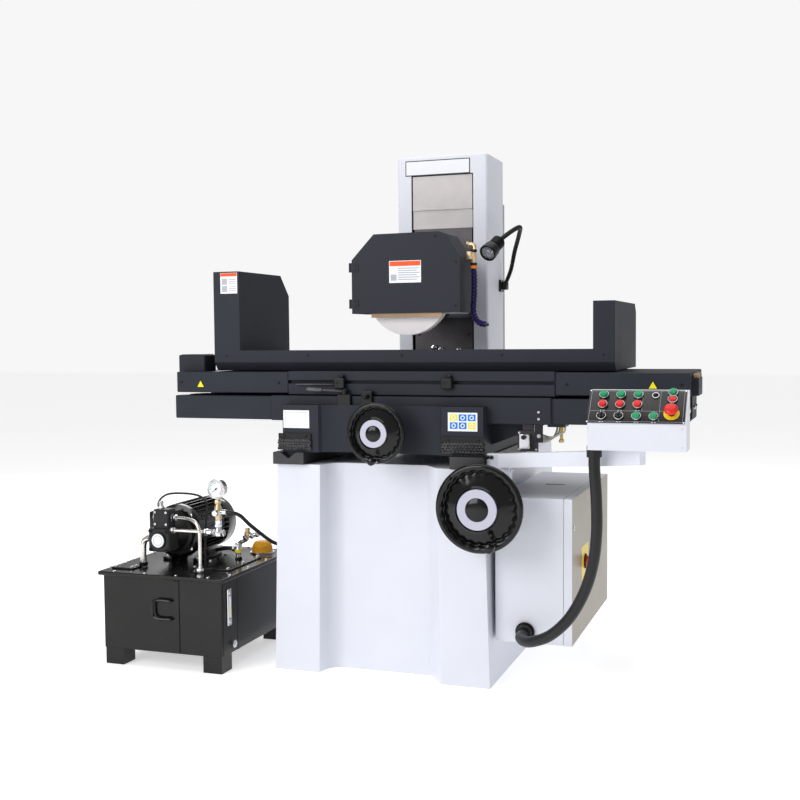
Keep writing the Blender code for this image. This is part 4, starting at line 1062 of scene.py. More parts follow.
@dataclass
class Saddle:
    """The saddle with its way wipers, plates, tubes and reverse lever."""

    bench: Bench
    ear_face: float = FRONT

    def build(self) -> None:
        """Finishes the saddle, the cylinder and the reverse lever."""
        extras = [*self.wipers(), *self.ear_plates(), *self.limit_switch(), *self.oil_tubes(),
                  *self.end_strips(), *self.stop_blocks()]

        def on_block(face: Any) -> bool:
            """True for the two black blocks in front of the table's beam."""
            return face.center.y < FRONT + 0.0445 and face.center.z > 0.945

        self.bench.refine("saddle", CHARCOAL, 0.0022, 2, extras, [(SATIN_BLACK, on_block)])
        low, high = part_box("hydraulic_cylinder")
        middle_y, middle_z = (low.y + high.y) / 2, (low.z + high.z) / 2
        collars = [Part(ring(0.0268, 0.02, 0.02, (x, middle_y, middle_z), RIGHT, 32), SATIN_BLACK)
                   for x in (low.x + 0.002, high.x - 0.022)]
        self.bench.refine("hydraulic_cylinder", STEEL, 0.0015, 2, collars)
        self.reverse_lever()

    def wipers(self) -> list[Part]:
        """The braided way wipers and their clamping strips under both ears."""
        parts = []
        for x0, x1 in ((-0.372, -0.246), (0.236, 0.386)):
            parts.append(Part(slab((x0, self.ear_face - 0.006, 0.834), (x1, self.ear_face + 0.002, 0.854),
                                   0.001), SATIN_BLACK))
            parts += screws((x0 + 0.022, x1 - 0.022), (self.ear_face - 0.006,), (0.844,), TOWARDS, 0.0052,
                            0.0035, CAST_BLACK)
            strands = 4
            height = 0.038 / strands
            for strand in range(strands):
                z = 0.796 + (strand + 0.5) * height
                phase = strand % 2
                points = [(x0 + (x1 - x0) * step / 26,
                           self.ear_face - 0.0045 - 0.0018 * ((step + phase) % 2), z
                           + 0.0016 * (1 if (step + phase) % 2 else -1)) for step in range(27)]
                parts.append(Part(tube(points, height * 0.56, 0.004, 1), BRAID))
        return parts

    def ear_plates(self) -> list[Part]:
        """A blank plate on the left ear and one with plain coloured fields on the right ear."""
        face = self.ear_face
        parts = []
        for x0, x1 in ((-0.354, -0.254), (0.257, 0.36)):
            parts.append(Part(slab((x0, face - 0.001, 0.873), (x1, face + 0.001, 0.936), 0.0003),
                              LABEL_WHITE))
        bars = [((-0.346, 0.8805), (-0.262, 0.8815)), ((-0.346, 0.9275), (-0.262, 0.9285))]
        bars += [((-0.346, 0.8805), (-0.345, 0.9285)), ((-0.263, 0.8805), (-0.262, 0.9285))]
        parts += [Part(slab((a[0], face - 0.0013, a[1]), (b[0], face, b[1])), LABEL_GREY) for a, b in bars]
        fields = (LABEL_YELLOW, LABEL_BLUE, LABEL_BLUE, LABEL_BLUE, LABEL_BLUE, LABEL_YELLOW)
        for index, finish in enumerate(fields):
            x = 0.264 + 0.0315 * (index % 3)
            z = 0.908 - 0.027 * (index // 3)
            parts.append(Part(slab((x, face - 0.0013, z), (x + 0.027, face, z + 0.022)), finish))
            parts.append(Part(ring(0.0078, 0.0045, 0.0006, (x + 0.0135, face - 0.0012, z + 0.011), TOWARDS,
                                   20, 0.0001), LABEL_WHITE))
        return parts

    def limit_switch(self) -> list[Part]:
        """The limit switch on its plate and the slotted bracket beside it."""
        plate_part = slab((0.474, -0.452, 0.8), (0.545, -0.446, 0.872), 0.0015)
        parts = [Part(plate_part, DARK_STEEL),
                 Part(slab((0.486, -0.486, 0.812), (0.522, -0.452, 0.862), 0.003), STEEL),
                 Part(slab((0.49, -0.448, 0.86), (0.528, -0.436, 0.905), 0.001), DARK_STEEL),
                 Part(disc(0.008, 0.01, (0.504, -0.486, 0.852), TOWARDS, 20), SATIN_BLACK)]
        parts += screws((0.48, 0.538), (-0.452,), (0.808, 0.864), TOWARDS, 0.0042, 0.003, STEEL)
        bracket = slab((0.545, -0.5048, 0.836), (0.572, -0.498, 0.952), 0.002)
        parts.append(Part(bracket, SATIN_BLACK))
        parts.append(Part(disc(0.0065, 0.0006, (0.5585, -0.5048, 0.858), TOWARDS), LABEL_GREY))
        parts += screws((0.5585,), (-0.5048,), (0.915, 0.938), TOWARDS, 0.0045, 0.004, STEEL)
        return parts

    def oil_tubes(self) -> list[Part]:
        """The clear lubrication tubes that loop under the beam, and the amber one."""
        parts = []
        for index in range(4):
            x = 0.512 + 0.011 * index
            drop = 0.834 + 0.006 * index
            y = -0.428 - 0.012 * index
            parts.append(Part(tube([(x, y, 0.899), (x + 0.002, y, 0.868),
                                    (x + 0.02, y - 0.004, drop + 0.006),
                                    (x + 0.052, y - 0.008, drop), (x + 0.08, y - 0.004, drop + 0.014),
                                    (x + 0.092, y, 0.872), (x + 0.094, y + 0.004, 0.9)], 0.0035, 0.008, 2),
                              CLEAR_TUBE))
        parts.append(Part(tube([(0.624, -0.452, 0.9), (0.624, -0.452, 0.88), (0.6245, -0.452, 0.842)],
                               0.0055, 0.006), AMBER_TUBE))
        parts.append(Part(hex_nut((0.6245, -0.452, 0.834), UP, 0.016, 0.01), BRASS))
        manifold = slab((0.58, -0.47, 0.886), (0.64, -0.405, 0.8985), 0.002)
        parts.append(Part(manifold, CAST_BLACK))
        return parts

    def end_strips(self) -> list[Part]:
        """The hanging strips and screws at the ends of the table's support beams."""
        low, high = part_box("saddle")
        parts = []
        for y in (-0.47, -0.405):
            parts.append(Part(slab((high.x - 0.004, y, 0.899), (high.x + 0.003, y + 0.02, 0.979), 0.001),
                              STEEL))
        for x, side in ((low.x, LEFT), (high.x, RIGHT)):
            parts += [Part(hex_nut((x, y, 0.94), side, 0.014, 0.006), STEEL) for y in (-0.36, -0.17, -0.09)]
        return parts

    def stop_blocks(self) -> list[Part]:
        """The screws and the knob on the two blocks in front of the table."""
        parts = screws((-0.15, -0.12), (-0.507,), (0.99,), UP, 0.0042, 0.004, SATIN_BLACK)
        parts.append(Part(lathe([(0.0, 0.02), (0.007, 0.019), (0.0095, 0.014), (0.0085, 0.006),
                                 (0.005, 0.004),
                                 (0.005, 0.0), (0.0, 0.0)], (-0.05, -0.518, 0.985), TOWARDS, 24),
                          SATIN_BLACK))
        return parts

    def reverse_lever(self) -> None:
        """The reverse lever with its knurled grip."""
        pivot, middle, tip = Vector((-0.135, -0.507, 1.002)), Vector((-0.215, -0.52, 1.006)), \
            Vector((-0.274, -0.528, 1.01))
        along = (tip - middle).normalized()
        length = (tip - middle).length
        parts = [Part(lathe([(0.0, 0.0195), (0.0095, 0.0195), (0.011, 0.018), (0.011, 0.0), (0.0, 0.0)],
                            pivot - Vector((0, 0, 0.0115)), UP, 28), SATIN_BLACK),
                 Part(tube([pivot, (-0.17, -0.5125, 1.004), middle - Vector((0.01, 0.0, 0.0))], 0.0042,
                           0.01), DARK_STEEL),
                 Part(lathe([(0.0, length), (0.0045, length), (0.006, length - 0.002), (0.006, 0.002),
                             (0.0045, 0.0), (0.0, 0.0)], middle, along, 28), DARK_STEEL)]
        ribs = 15
        parts += [Part(ring(0.0075, 0.0055, 0.0026, middle + along * (0.004 + step * (length - 0.01) / ribs),
                            along, 24, 0.0006), KNURLED) for step in range(ribs)]
        self.bench.make("reverse_lever_knurled", "reverse_lever_body", parts, "reverse_lever")


@dataclass
class Table:
    """The table with its wings, splash guard and trip dogs."""

    bench: Bench

    def build(self) -> None:
        """Finishes what slides to left and right."""
        table_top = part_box("table")[1].z

        def ground(face: Any) -> bool:
            """True for the ground land and the slots in it."""
            return face.center.z > table_top - 0.024

        self.bench.refine("table", CHARCOAL, 0.0012, 2, [], [(GROUND_STEEL, ground)])
        self.wings()
        self.splash_guard()
        self.dogs()

    def triangle(self, x: float, y: float, z: float, size: float) -> list[Part]:
        """A plain yellow triangle with a dark edge, facing the operator.

        Args:
            x: Its middle.
            y: The face that it sticks to.
            z: Its lower edge.
            size: Its width.

        Returns:
            Its two layers.
        """
        parts = []
        for scale, lift, finish in ((1.0, 0.0008, LABEL_BLACK), (0.78, 0.0012, LABEL_YELLOW)):
            half, tall = size / 2 * scale, size * 0.87 * scale
            foot = z + size * 0.29 * (1 - scale)
            parts.append(Part(plate([(x - half, y, foot), (x + half, y, foot), (x, y, foot + tall)],
                                    (0.0, -lift, 0.0)), finish))
        return parts

    def wings(self) -> None:
        """Finishes both wings, with their fittings."""
        low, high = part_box("table_wing_left")
        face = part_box("table")[0].y + 0.002
        extras = self.triangle(-0.719, face, 1.011, 0.034)
        extras.append(Part(disc(0.009, 0.0006, (low.x, -0.395, 1.085), LEFT, 28), CHARCOAL_SHADE))
        extras.append(Part(slab((low.x + 0.01, -0.436, high.z - 0.001),
                                (low.x + 0.1, -0.354, high.z + 0.002), 0.001), CHARCOAL))
        extras += screws((-0.8, -0.4), (face,), (1.03,), TOWARDS, 0.0045, 0.003, SATIN_BLACK)
        self.bench.refine("table_wing_left", CHARCOAL, 0.0018, 2, extras)
        low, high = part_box("table_wing_right")
        extras = self.triangle(0.929, face, 1.016, 0.034)
        extras += screws((0.65, 1.02), (face,), (1.03,), TOWARDS, 0.0045, 0.003, SATIN_BLACK)
        block = high.x
        for y in (-0.418, -0.338):
            extras.append(Part(slab((block - 0.019, y, 1.049), (block - 0.001, y + 0.034, 1.064), 0.002),
                               TAN_FELT_AND_SHADE))
        extras += [Part(disc(0.006, 0.0005, (block - 0.00045, y, 1.021), RIGHT), CHARCOAL_SHADE)
                   for y in (-0.405, -0.36, -0.315)]
        self.bench.refine("table_wing_right", CHARCOAL, 0.0018, 2, extras)

    def splash_guard(self) -> None:
        """Finishes the folded splash guard, its blank label and its screws."""
        low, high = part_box("splash_guard")
        face = low.y
        left, right, foot, top = -0.65, -0.581, 1.357, 1.433
        extras = [Part(slab((left, face - 0.0008, foot), (right, face + 0.001, top), 0.0003), LABEL_WHITE),
                  Part(slab((left + 0.001, face - 0.0011, top - 0.013), (right - 0.001, face, top - 0.001)),
                       LABEL_ORANGE)]
        for row in range(2):
            z = foot + 0.006 + row * 0.027
            extras.append(Part(slab((left + 0.006, face - 0.0011, z), (left + 0.028, face, z + 0.022)),
                               LABEL_GREY))
            extras += [Part(slab((left + 0.034, face - 0.0011, z + 0.003 + 0.007 * bar),
                                 (right - 0.005, face, z + 0.006 + 0.007 * bar)), LABEL_GREY)
                       for bar in range(3)]
        extras += screws((-0.63, -0.3, 0.06, 0.42, 0.765), (face + 0.001,), (1.128,), TOWARDS, 0.004, 0.0025,
                         SATIN_BLACK)

        def inside(item: Any) -> bool:
            """True for the faces that look into the trough."""
            return item.normal.y > 0.5 and item.center.y < face + 0.03 or item.normal.x < -0.5 and \
                item.center.x > 0.5 and item.center.x < high.x - 0.02

        self.bench.refine("splash_guard", CHARCOAL, 0.0014, 2, extras, [(CHARCOAL_SHADE, inside)])

    def dogs(self) -> None:
        """Finishes both trip dogs, with the left one's rod."""
        for node in ("trip_dog_left", "trip_dog_right"):
            low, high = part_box(node)
            middle = (low.x + high.x) / 2
            extras = [Part(lathe([(0.0, 0.012), (0.006, 0.012), (0.0085, 0.009), (0.0085, 0.003),
                                  (0.005, 0.0),
                                  (0.0, 0.0)], (middle + 0.008, low.y + 0.01, high.z - 0.001), UP, 20),
                           SATIN_BLACK),
                      Part(screw_head((middle - 0.008, low.y + 0.0005, 1.031), TOWARDS, 0.005, 0.003),
                           CAST_BLACK)]
            if node == "trip_dog_left":
                extras.append(Part(tube([(low.x + 0.003, -0.501, 1.0255), (low.x - 0.07, -0.501, 1.0255),
                                         (low.x - 0.15, -0.501, 1.0255)], 0.0028, 0.02), DARK_STEEL))
                extras.append(Part(ring(0.0055, 0.0022, 0.01, (low.x - 0.004, -0.501, 1.0255), LEFT, 24),
                                   SATIN_BLACK))
            self.bench.refine(node, SATIN_BLACK, 0.0012, 2, extras)


@dataclass
class Handwheel:
    """A dished black handwheel with a pale hub ring, scallops and a crank handle."""

    bench: Bench
    name: str
    handle: str
    centre: Triple
    radius: float
    depth: float
    pin: Triple
    waves: int = 20
    knob_angle: float | None = None

    def build(self) -> None:
        """Makes the wheel and its handle."""
        r, d = self.radius, self.depth
        dome = [(0.0, d * 0.995), (r * 0.12, d * 0.985), (r * 0.21, d * 0.955), (r * 0.255, d * 0.9),
                (r * 0.255, d * 0.5), (0.0, d * 0.5)]
        dish = [(0.0, d * 0.45), (r * 0.46, d * 0.45), (r * 0.465, d * 0.84), (r * 0.49, d * 0.72),
                (r * 0.56, d * 0.6), (r * 0.64, d * 0.49), (r * 0.72, d * 0.38), (r * 0.79, d * 0.29),
                (r * 0.825, d * 0.25), (r * 0.845, d * 0.27)]
        tube_r = r * 0.078
        rim_at = (r - tube_r, d * 0.36)
        around = [(rim_at[0] + tube_r * math.cos(turn), rim_at[1] + tube_r * math.sin(turn))
                  for turn in (math.radians(200 - 20 * step) for step in range(17))]
        back = [(r * 0.8, -d * 0.02), (r * 0.62, -d * 0.06), (r * 0.3, -d * 0.08), (r * 0.11, -d * 0.1),
                (r * 0.11, -d * 0.88), (0.0, -d * 0.88)]
        shell = lathe([*dish, *around, *back], self.centre, TOWARDS, self.waves * 8)
        self.scallop(shell)
        ring_part = ring(r * 0.452, r * 0.262, d * 0.5, Vector(self.centre) + Vector((0, -d * 0.44, 0)),
                         TOWARDS, 72, r * 0.006)
        parts = [Part(shell, GLOSS_BLACK), Part(lathe(dome, self.centre, TOWARDS, 56), GLOSS_BLACK),
                 Part(ring_part, ANODISED)]
        if self.knob_angle is not None:
            place = Vector((math.cos(self.knob_angle), 0.0, math.sin(self.knob_angle))) * (r - tube_r)
            parts.append(Part(lathe([(0.0, 0.016), (0.004, 0.016), (0.006, 0.012), (0.006, 0.0), (0.0, 0.0)],
                                    Vector(self.centre) + place + Vector((0, -d * 0.52, 0)), TOWARDS, 20),
                              GLOSS_BLACK))
        self.bench.make(self.name + "_dished", self.name + "_body", parts, self.name, smooth=40)
        self.crank()

    def scallop(self, shell: Mesh) -> None:
        """Waves the dish's outer wall so that the rim has finger grips.

        Args:
            shell: The wheel's mesh, in place.
        """
        for vert in shell.verts:
            away = vert.co - Vector(self.centre)
            share = math.hypot(away.x, away.z) / self.radius
            if 0.7 < share < 0.9 and -away.y > 0.04 * self.depth:
                near = min(1.0, (share - 0.7) / 0.1, (0.9 - share) / 0.04)
                wave = abs(math.sin(0.5 * self.waves * math.atan2(away.z, away.x)))
                pull = 1.0 - 0.04 * near * (1.0 - wave)
                vert.co.x = self.centre[0] + away.x * pull
                vert.co.z = self.centre[2] + away.z * pull

    def crank(self) -> None:
        """Makes the handle that spins on its own pin."""
        low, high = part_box(self.handle)
        size = 1.22 * (high.x - low.x) / 2
        length = high.y - low.y
        grip = [(0.0, length), (size * 0.55, length), (size * 0.86, length * 0.95), (size, length * 0.82),
                (size * 0.97, length * 0.6), (size * 0.72, length * 0.3), (size * 0.6, length * 0.16), (0.0,
                length * 0.16)]
        collar = [(0.0, length * 0.17), (size * 0.68, length * 0.17), (size * 0.72, length * 0.12),
                  (size * 0.72, 0.0), (0.0, 0.0)]
        self.bench.make(self.handle + "_turned", self.handle + "_body",
                        [Part(lathe(grip, self.pin, TOWARDS, 36), GLOSS_BLACK),
                         Part(lathe(collar, self.pin, TOWARDS, 36), STEEL)], self.handle)


@dataclass
class Cabinet:
    """The electrical cabinet with its door, main switch and inner equipment."""

    bench: Bench

    def build(self) -> None:
        """Finishes the cabinet, its door and the switch."""
        low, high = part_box("electrical_cabinet")
        extras = [Part(slab((0.505, -0.15, high.z - 0.0003), (0.575, -0.138, high.z + 0.0006)),
                       CHARCOAL_SHADE)]
        extras += [Part(slab((low.x + 0.04, high.y - 0.0004, z), (high.x - 0.04, high.y + 0.0025, z + 0.008),
                             0.0015), WHITE) for z in (0.2 + 0.018 * row for row in range(7))]
        extras.append(Part(ring(0.033, 0.0275, 0.006, (0.51, low.y - 0.004, 0.195), TOWARDS, 40),
                           SATIN_BLACK))
        extras += self.equipment(low, high)
        self.bench.refine("electrical_cabinet", WHITE, 0.002, 2, extras)
        self.door()

    def equipment(self, low: Vector, high: Vector) -> list[Part]:
        """The mounting plate, rails, contactors and ducts inside.

        Args:
            low: The cabinet's lowest corner.
            high: Its highest corner.

        Returns:
            The parts.
        """
        back = low.x + 0.012
        parts = [Part(slab((back, low.y + 0.03, low.z + 0.03), (back + 0.003, high.y - 0.03, high.z - 0.03),
                           0.001), REAR_GREY_AND_PAINTED_LIGHT)]
        for row in range(3):
            z = low.z + 0.11 + 0.145 * row
            parts.append(Part(slab((back + 0.003, low.y + 0.05, z - 0.017),
                                   (back + 0.01, high.y - 0.05, z + 0.017), 0.001), BRUSHED))
            parts.append(Part(slab((back + 0.003, low.y + 0.05, z + 0.052),
                                   (back + 0.045, high.y - 0.05, z + 0.088), 0.002), LABEL_GREY))
            for item in range(9 - row):
                y = low.y + 0.065 + 0.066 * item
                wide = 0.052 if (item + row) % 3 else 0.038
                tall = 0.04 if item % 2 else 0.034
                finish = SATIN_BLACK if (item + row) % 2 else LABEL_WHITE
                parts.append(Part(slab((back + 0.01, y, z - tall),
                                       (back + 0.08 - 0.006 * row, y + wide, z + tall), 0.002), finish))
                parts += [Part(screw_head((back + 0.0795 - 0.006 * row, y + wide * share, z + tall * 0.7),
                                          RIGHT, 0.003, 0.001), STEEL) for share in (0.25, 0.5, 0.75)]
        return parts

    def door(self) -> None:
        """Finishes the door, its switch plate and the rotary switch."""
        low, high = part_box("cabinet_door")
        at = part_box("main_switch")
        y, z = (at[0].y + at[1].y) / 2, (at[0].z + at[1].z) / 2
        face = high.x
        extras = [Part(slab((face - 0.0002, y - 0.062, z - 0.058), (face + 0.0002, y + 0.062, z + 0.058),
                            0.0001), YELLOW_RING)]
        extras += [Part(ring(0.0095, 0.0055, 0.003, (face - 0.001, low.y + 0.025, level), RIGHT, 28), STEEL)
                   for level in (low.z + 0.1, high.z - 0.1)]
        gasket = 0.006
        extras += [Part(slab(a, b, 0.001), RUBBER) for a, b in (
            ((low.x + 0.0002, low.y + 0.004, low.z + 0.004),
             (low.x + 0.0012, low.y + 0.004 + gasket, high.z - 0.004)),
            ((low.x + 0.0002, high.y - 0.004 - gasket, low.z + 0.004),
             (low.x + 0.0012, high.y - 0.004, high.z - 0.004)))]

        def on_edge(face_item: Any) -> bool:
            """True for the door's white front and top edges."""
            return face_item.normal.y < -0.6 or face_item.normal.z > 0.6

        # painted shade: the door's right-facing side wears the dim warm beige that stands for its shade and
        # warm reflection, while its front and top edges keep the white
        self.bench.refine("cabinet_door", SHADED_SIDE_WHITE, 0.0025, 3, extras, [(WHITE, on_edge)])
        foot = at[0].x
        reach = at[1].x - foot
        parts = [Part(lathe([(0.0, 0.006), (0.024, 0.006), (0.026, 0.004), (0.026, 0.0), (0.0, 0.0)],
                            (foot, y, z), RIGHT, 44), SATIN_BLACK),
                 Part(lathe([(0.0, reach * 0.8), (0.0145, reach * 0.8), (0.016, reach * 0.7), (0.018, 0.01),
                             (0.02, 0.006), (0.0, 0.006)], (foot, y, z), RIGHT, 44), RED_CAP),
                 Part(slab((foot + 0.016, y - 0.006, z - 0.0218), (foot + reach, y + 0.006, z + 0.0218),
                           0.003, 3), RED_CAP),
                 Part(slab((foot + reach - 0.0004, y - 0.0012, z + 0.006),
                           (foot + reach + 0.0002, y + 0.0012, z + 0.019)), LABEL_WHITE)]
        self.bench.make("main_switch_handle", "main_switch_body", parts, "main_switch")


@dataclass
class Pendant:
    """The sloping control box on its arm, with its panel, buttons and gland."""

    bench: Bench
    crest_y: float = FRONT - 0.16
    panel_top: float = 0.0028
    bezel_height: float = 0.0085
    cap_radius: float = 0.0113
    columns: tuple[float, ...] = (0.812, 0.864, 0.916, 0.967, 1.018)
    rows: tuple[float, ...] = (0.027, 0.071, 0.109)

    def __post_init__(self) -> None:
        """Works out the slope's frame from the box."""
        low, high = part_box("control_box")
        self.low, self.high = low, high
        lip = 0.925
        rise = Vector((0.0, self.crest_y - low.y, high.z - lip))
        self.length = rise.length
        self.rise = rise.normalized()
        self.out = Vector((0.0, -self.rise.z, self.rise.y))
        self.corner = Vector((0.0, low.y, lip))
        turn = Matrix(((1, 0, 0), (0, self.rise.y, self.out.y), (0, self.rise.z, self.out.z))).to_4x4()
        self.slope = Matrix.Translation(self.corner) @ turn

    def on(self, x: float, run: float, lift: float) -> Vector:
        """A point over the slope, from its x, run up the slope and lift."""
        return self.slope @ Vector((x, run, lift))

    def flat(self, x: Pair, run: Pair, lift: Pair, bevel: float = 0.0) -> Mesh:
        """A slab on the slope between two x, run and lift values."""
        return moved(slab((x[0], run[0], lift[0]), (x[1], run[1], lift[1]), bevel), self.slope)

    def build(self) -> None:
        """Finishes the box, the panel, the controls and the arm."""
        self.case()
        self.panel()
        for column in range(3):
            self.cap(f"start_button_{column + 1}", column, self.rows[2], GREEN_CAP)
            self.cap(f"stop_button_{column + 1}", column, self.rows[1], RED_CAP)
        for number in (1, 2):
            self.selector(f"selector_switch_{number}", number - 1)
            self.cap(f"jog_button_{number}", number + 1, self.rows[0], GREEN_CAP)
        self.cap("hydraulics_start_button", 4, self.rows[2] + 0.01, GREEN_CAP)
        self.cap("hydraulics_stop_button", 4, self.rows[2] - 0.016, RED_CAP, 0.0105)
        self.emergency_stop()
        self.arm()

    def case(self) -> None:
        """Finishes the case with its screws, back strips and ribbed gland."""
        low, high = self.low, self.high
        gland = (0.785, FRONT - 0.2)
        top = 0.8462
        extras = [Part(ring(0.0232 - 0.0012 * (step % 2), 0.017, 0.0042,
                            (*gland, top - 0.0262 + 0.0044 * step), UP,
                            36, 0.0008), RUBBER) for step in range(6)]
        extras += screws((low.x + 0.012, high.x - 0.012), (low.y + 0.0003,), (0.858, 0.914), TOWARDS, 0.003,
                         0.0015, STEEL)
        extras += [Part(slab((x, high.y - 0.0005, 0.868 + 0.012 * row),
                             (x + 0.05, high.y + 0.0008, 0.872 + 0.012 * row)),
                        CHARCOAL_SHADE) for x in (0.83, 0.95) for row in range(5)]

        def at_gland(face: Any) -> bool:
            """True for the CAD gland's faces."""
            return face.center.z < top - 0.001

        self.bench.refine("control_box", WHITE, 0.0022, 3, extras, [(RUBBER, at_gland)])

    def panel(self) -> None:
        """Builds the printed panel with its border, lines, bezels and blank legends."""
        x0, x1 = self.low.x + 0.006, self.high.x - 0.006
        y1 = self.length - 0.004
        top = self.panel_top
        line = 0.0009
        parts = [Part(self.flat((x0, x1), (0.005, y1), (0.0003, top), 0.0008), PANEL_GREY)]
        edges = [((x0 + 0.006, x1 - 0.006), (0.009, 0.009 + line)),
                 ((x0 + 0.006, x1 - 0.006), (y1 - 0.0045, y1 - 0.0036)),
                 ((x0 + 0.006, x0 + 0.006 + line), (0.009, y1 - 0.0036)),
                 ((x1 - 0.006 - line, x1 - 0.006), (0.009, y1 - 0.0036)),
                 ((x0 + 0.006, x1 - 0.06), (0.0495, 0.0495 + line)),
                 ((x0 + 0.162, x0 + 0.1629), (0.0495, y1 - 0.004)),
                 ((x0 + 0.214, x0 + 0.2149), (0.009, y1 - 0.004))]
        parts += [Part(self.flat(x, run, (top - 0.0002, top + 0.0002)), LABEL_GREY) for x, run in edges]
        parts += [Part(lathe([(0.0, 0.001), (0.0022, 0.0008), (0.0028, 0.0), (0.0, 0.0)],
                             self.on(x, run, top), self.out, 18), STEEL)
                  for x in (x0 + 0.003, x1 - 0.003) for run in (0.0075, y1 - 0.0025)]
        spots = [(column, run) for run in self.rows[1:] for column in self.columns[:3]]
        spots += [(column, self.rows[0]) for column in self.columns[:4]]
        spots += [(self.columns[4], self.rows[2] + 0.01), (self.columns[4], self.rows[2] - 0.016)]
        for x, run in spots:
            parts.append(Part(ring(0.0145, 0.0122, self.bezel_height, self.on(x, run, top - 0.0005),
                                   self.out, 40, 0.0008), STEEL))
            parts.append(Part(ring(0.0152, 0.0142, 0.003, self.on(x, run, top - 0.0002), self.out, 40,
                                   0.0004), SATIN_BLACK))
            for shift in (-0.006, 0.003):
                bar = (x + shift, x + shift + 0.004 + 0.002 * (shift < 0))
                parts.append(Part(self.flat(bar, (run - 0.0205, run - 0.0185), (top - 0.0002, top + 0.0002)),
                                  LABEL_WHITE))
        lens = self.on(self.columns[3], self.rows[2], top)
        parts.append(Part(ring(0.011, 0.0085, 0.004, lens, self.out, 36, 0.0006), STEEL))
        parts.append(Part(lathe([(0.0, 0.0065), (0.005, 0.0058), (0.0083, 0.003), (0.0083, 0.0), (0.0, 0.0)],
                                lens, self.out, 32), CHARCOAL_SHADE))
        stop = self.on(self.columns[4], self.rows[0] + 0.014, top - 0.0004)
        parts.append(Part(ring(0.0235, 0.0105, 0.0022, stop, self.out, 56, 0.0006), YELLOW_RING))
        self.bench.make("control_panel_printed", self.bench.body_of("control_panel"), parts, "control_panel")

    def cap(self, node: str, column: int, run: float, finish: Finish, height: float = 0.0155) -> None:
        """A push button's cap.

        Args:
            node: The CAD node.
            column: Its column on the panel.
            run: How far up the slope it sits.
            finish: Its colour.
            height: How far it stands out of the box.
        """
        r = self.cap_radius if column < 4 else 0.92 * self.cap_radius
        top = height + 0.0025
        foot = self.panel_top + 0.0043
        profile = [(0.0, top), (r * 0.72, top - 0.0002), (r * 0.93, top - 0.0009), (r, top - 0.0024),
                   (r, foot), (0.0, foot)]
        parts = [Part(lathe(profile, self.on(self.columns[column], run, 0.0), self.out, 36), finish)]
        self.bench.make(node + "_cap", node + "_body", parts, node)

    def selector(self, node: str, column: int) -> None:
        """A selector switch with a ridged grip and a white pointer."""
        x, run = self.columns[column], self.rows[0]
        parts = [Part(lathe([(0.0, 0.015), (0.0098, 0.0148), (0.0113, 0.0135), (0.0113, 0.007),
                             (0.0, 0.007)], self.on(x, run, 0.0), self.out, 36), GLOSS_BLACK),
                 Part(self.flat((x - 0.003, x + 0.003), (run - 0.0105, run + 0.0105), (0.013, 0.0238),
                                0.0012), GLOSS_BLACK),
                 Part(self.flat((x - 0.0007, x + 0.0007), (run + 0.0015, run + 0.0095), (0.0237, 0.024)),
                      LABEL_WHITE)]
        self.bench.make(node + "_grip", node + "_body", parts, node)

    def emergency_stop(self) -> None:
        """The red mushroom of the emergency stop."""
        profile = [(0.0, 0.0345), (0.007, 0.0343), (0.014, 0.0332), (0.0185, 0.0308), (0.0205, 0.0275),
                   (0.0205, 0.0225), (0.0192, 0.0212), (0.012, 0.019), (0.0095, 0.015), (0.0095, 0.0085),
                   (0.0, 0.0085)]
        at = self.on(self.columns[4], self.rows[0] + 0.014, 0.0)
        self.bench.make("emergency_stop_mushroom", "emergency_stop_body",
                        [Part(lathe(profile, at, self.out, 52), RED_CAP)], "emergency_stop")

    def arm(self) -> None:
        """Finishes the arm that carries the box, with its bolts."""
        extras = [Part(hex_nut((x, FRONT + 0.0022, 0.7885), TOWARDS, 0.012, 0.007), SATIN_BLACK)
                  for x in (0.3945, 0.4075)]
        extras += screws((0.4702,), (FRONT + 0.012, FRONT + 0.03), (0.705, 0.745), RIGHT, 0.005, 0.004,
                         STEEL)
        self.bench.refine("control_arm", WHITE, 0.003, 3, extras)


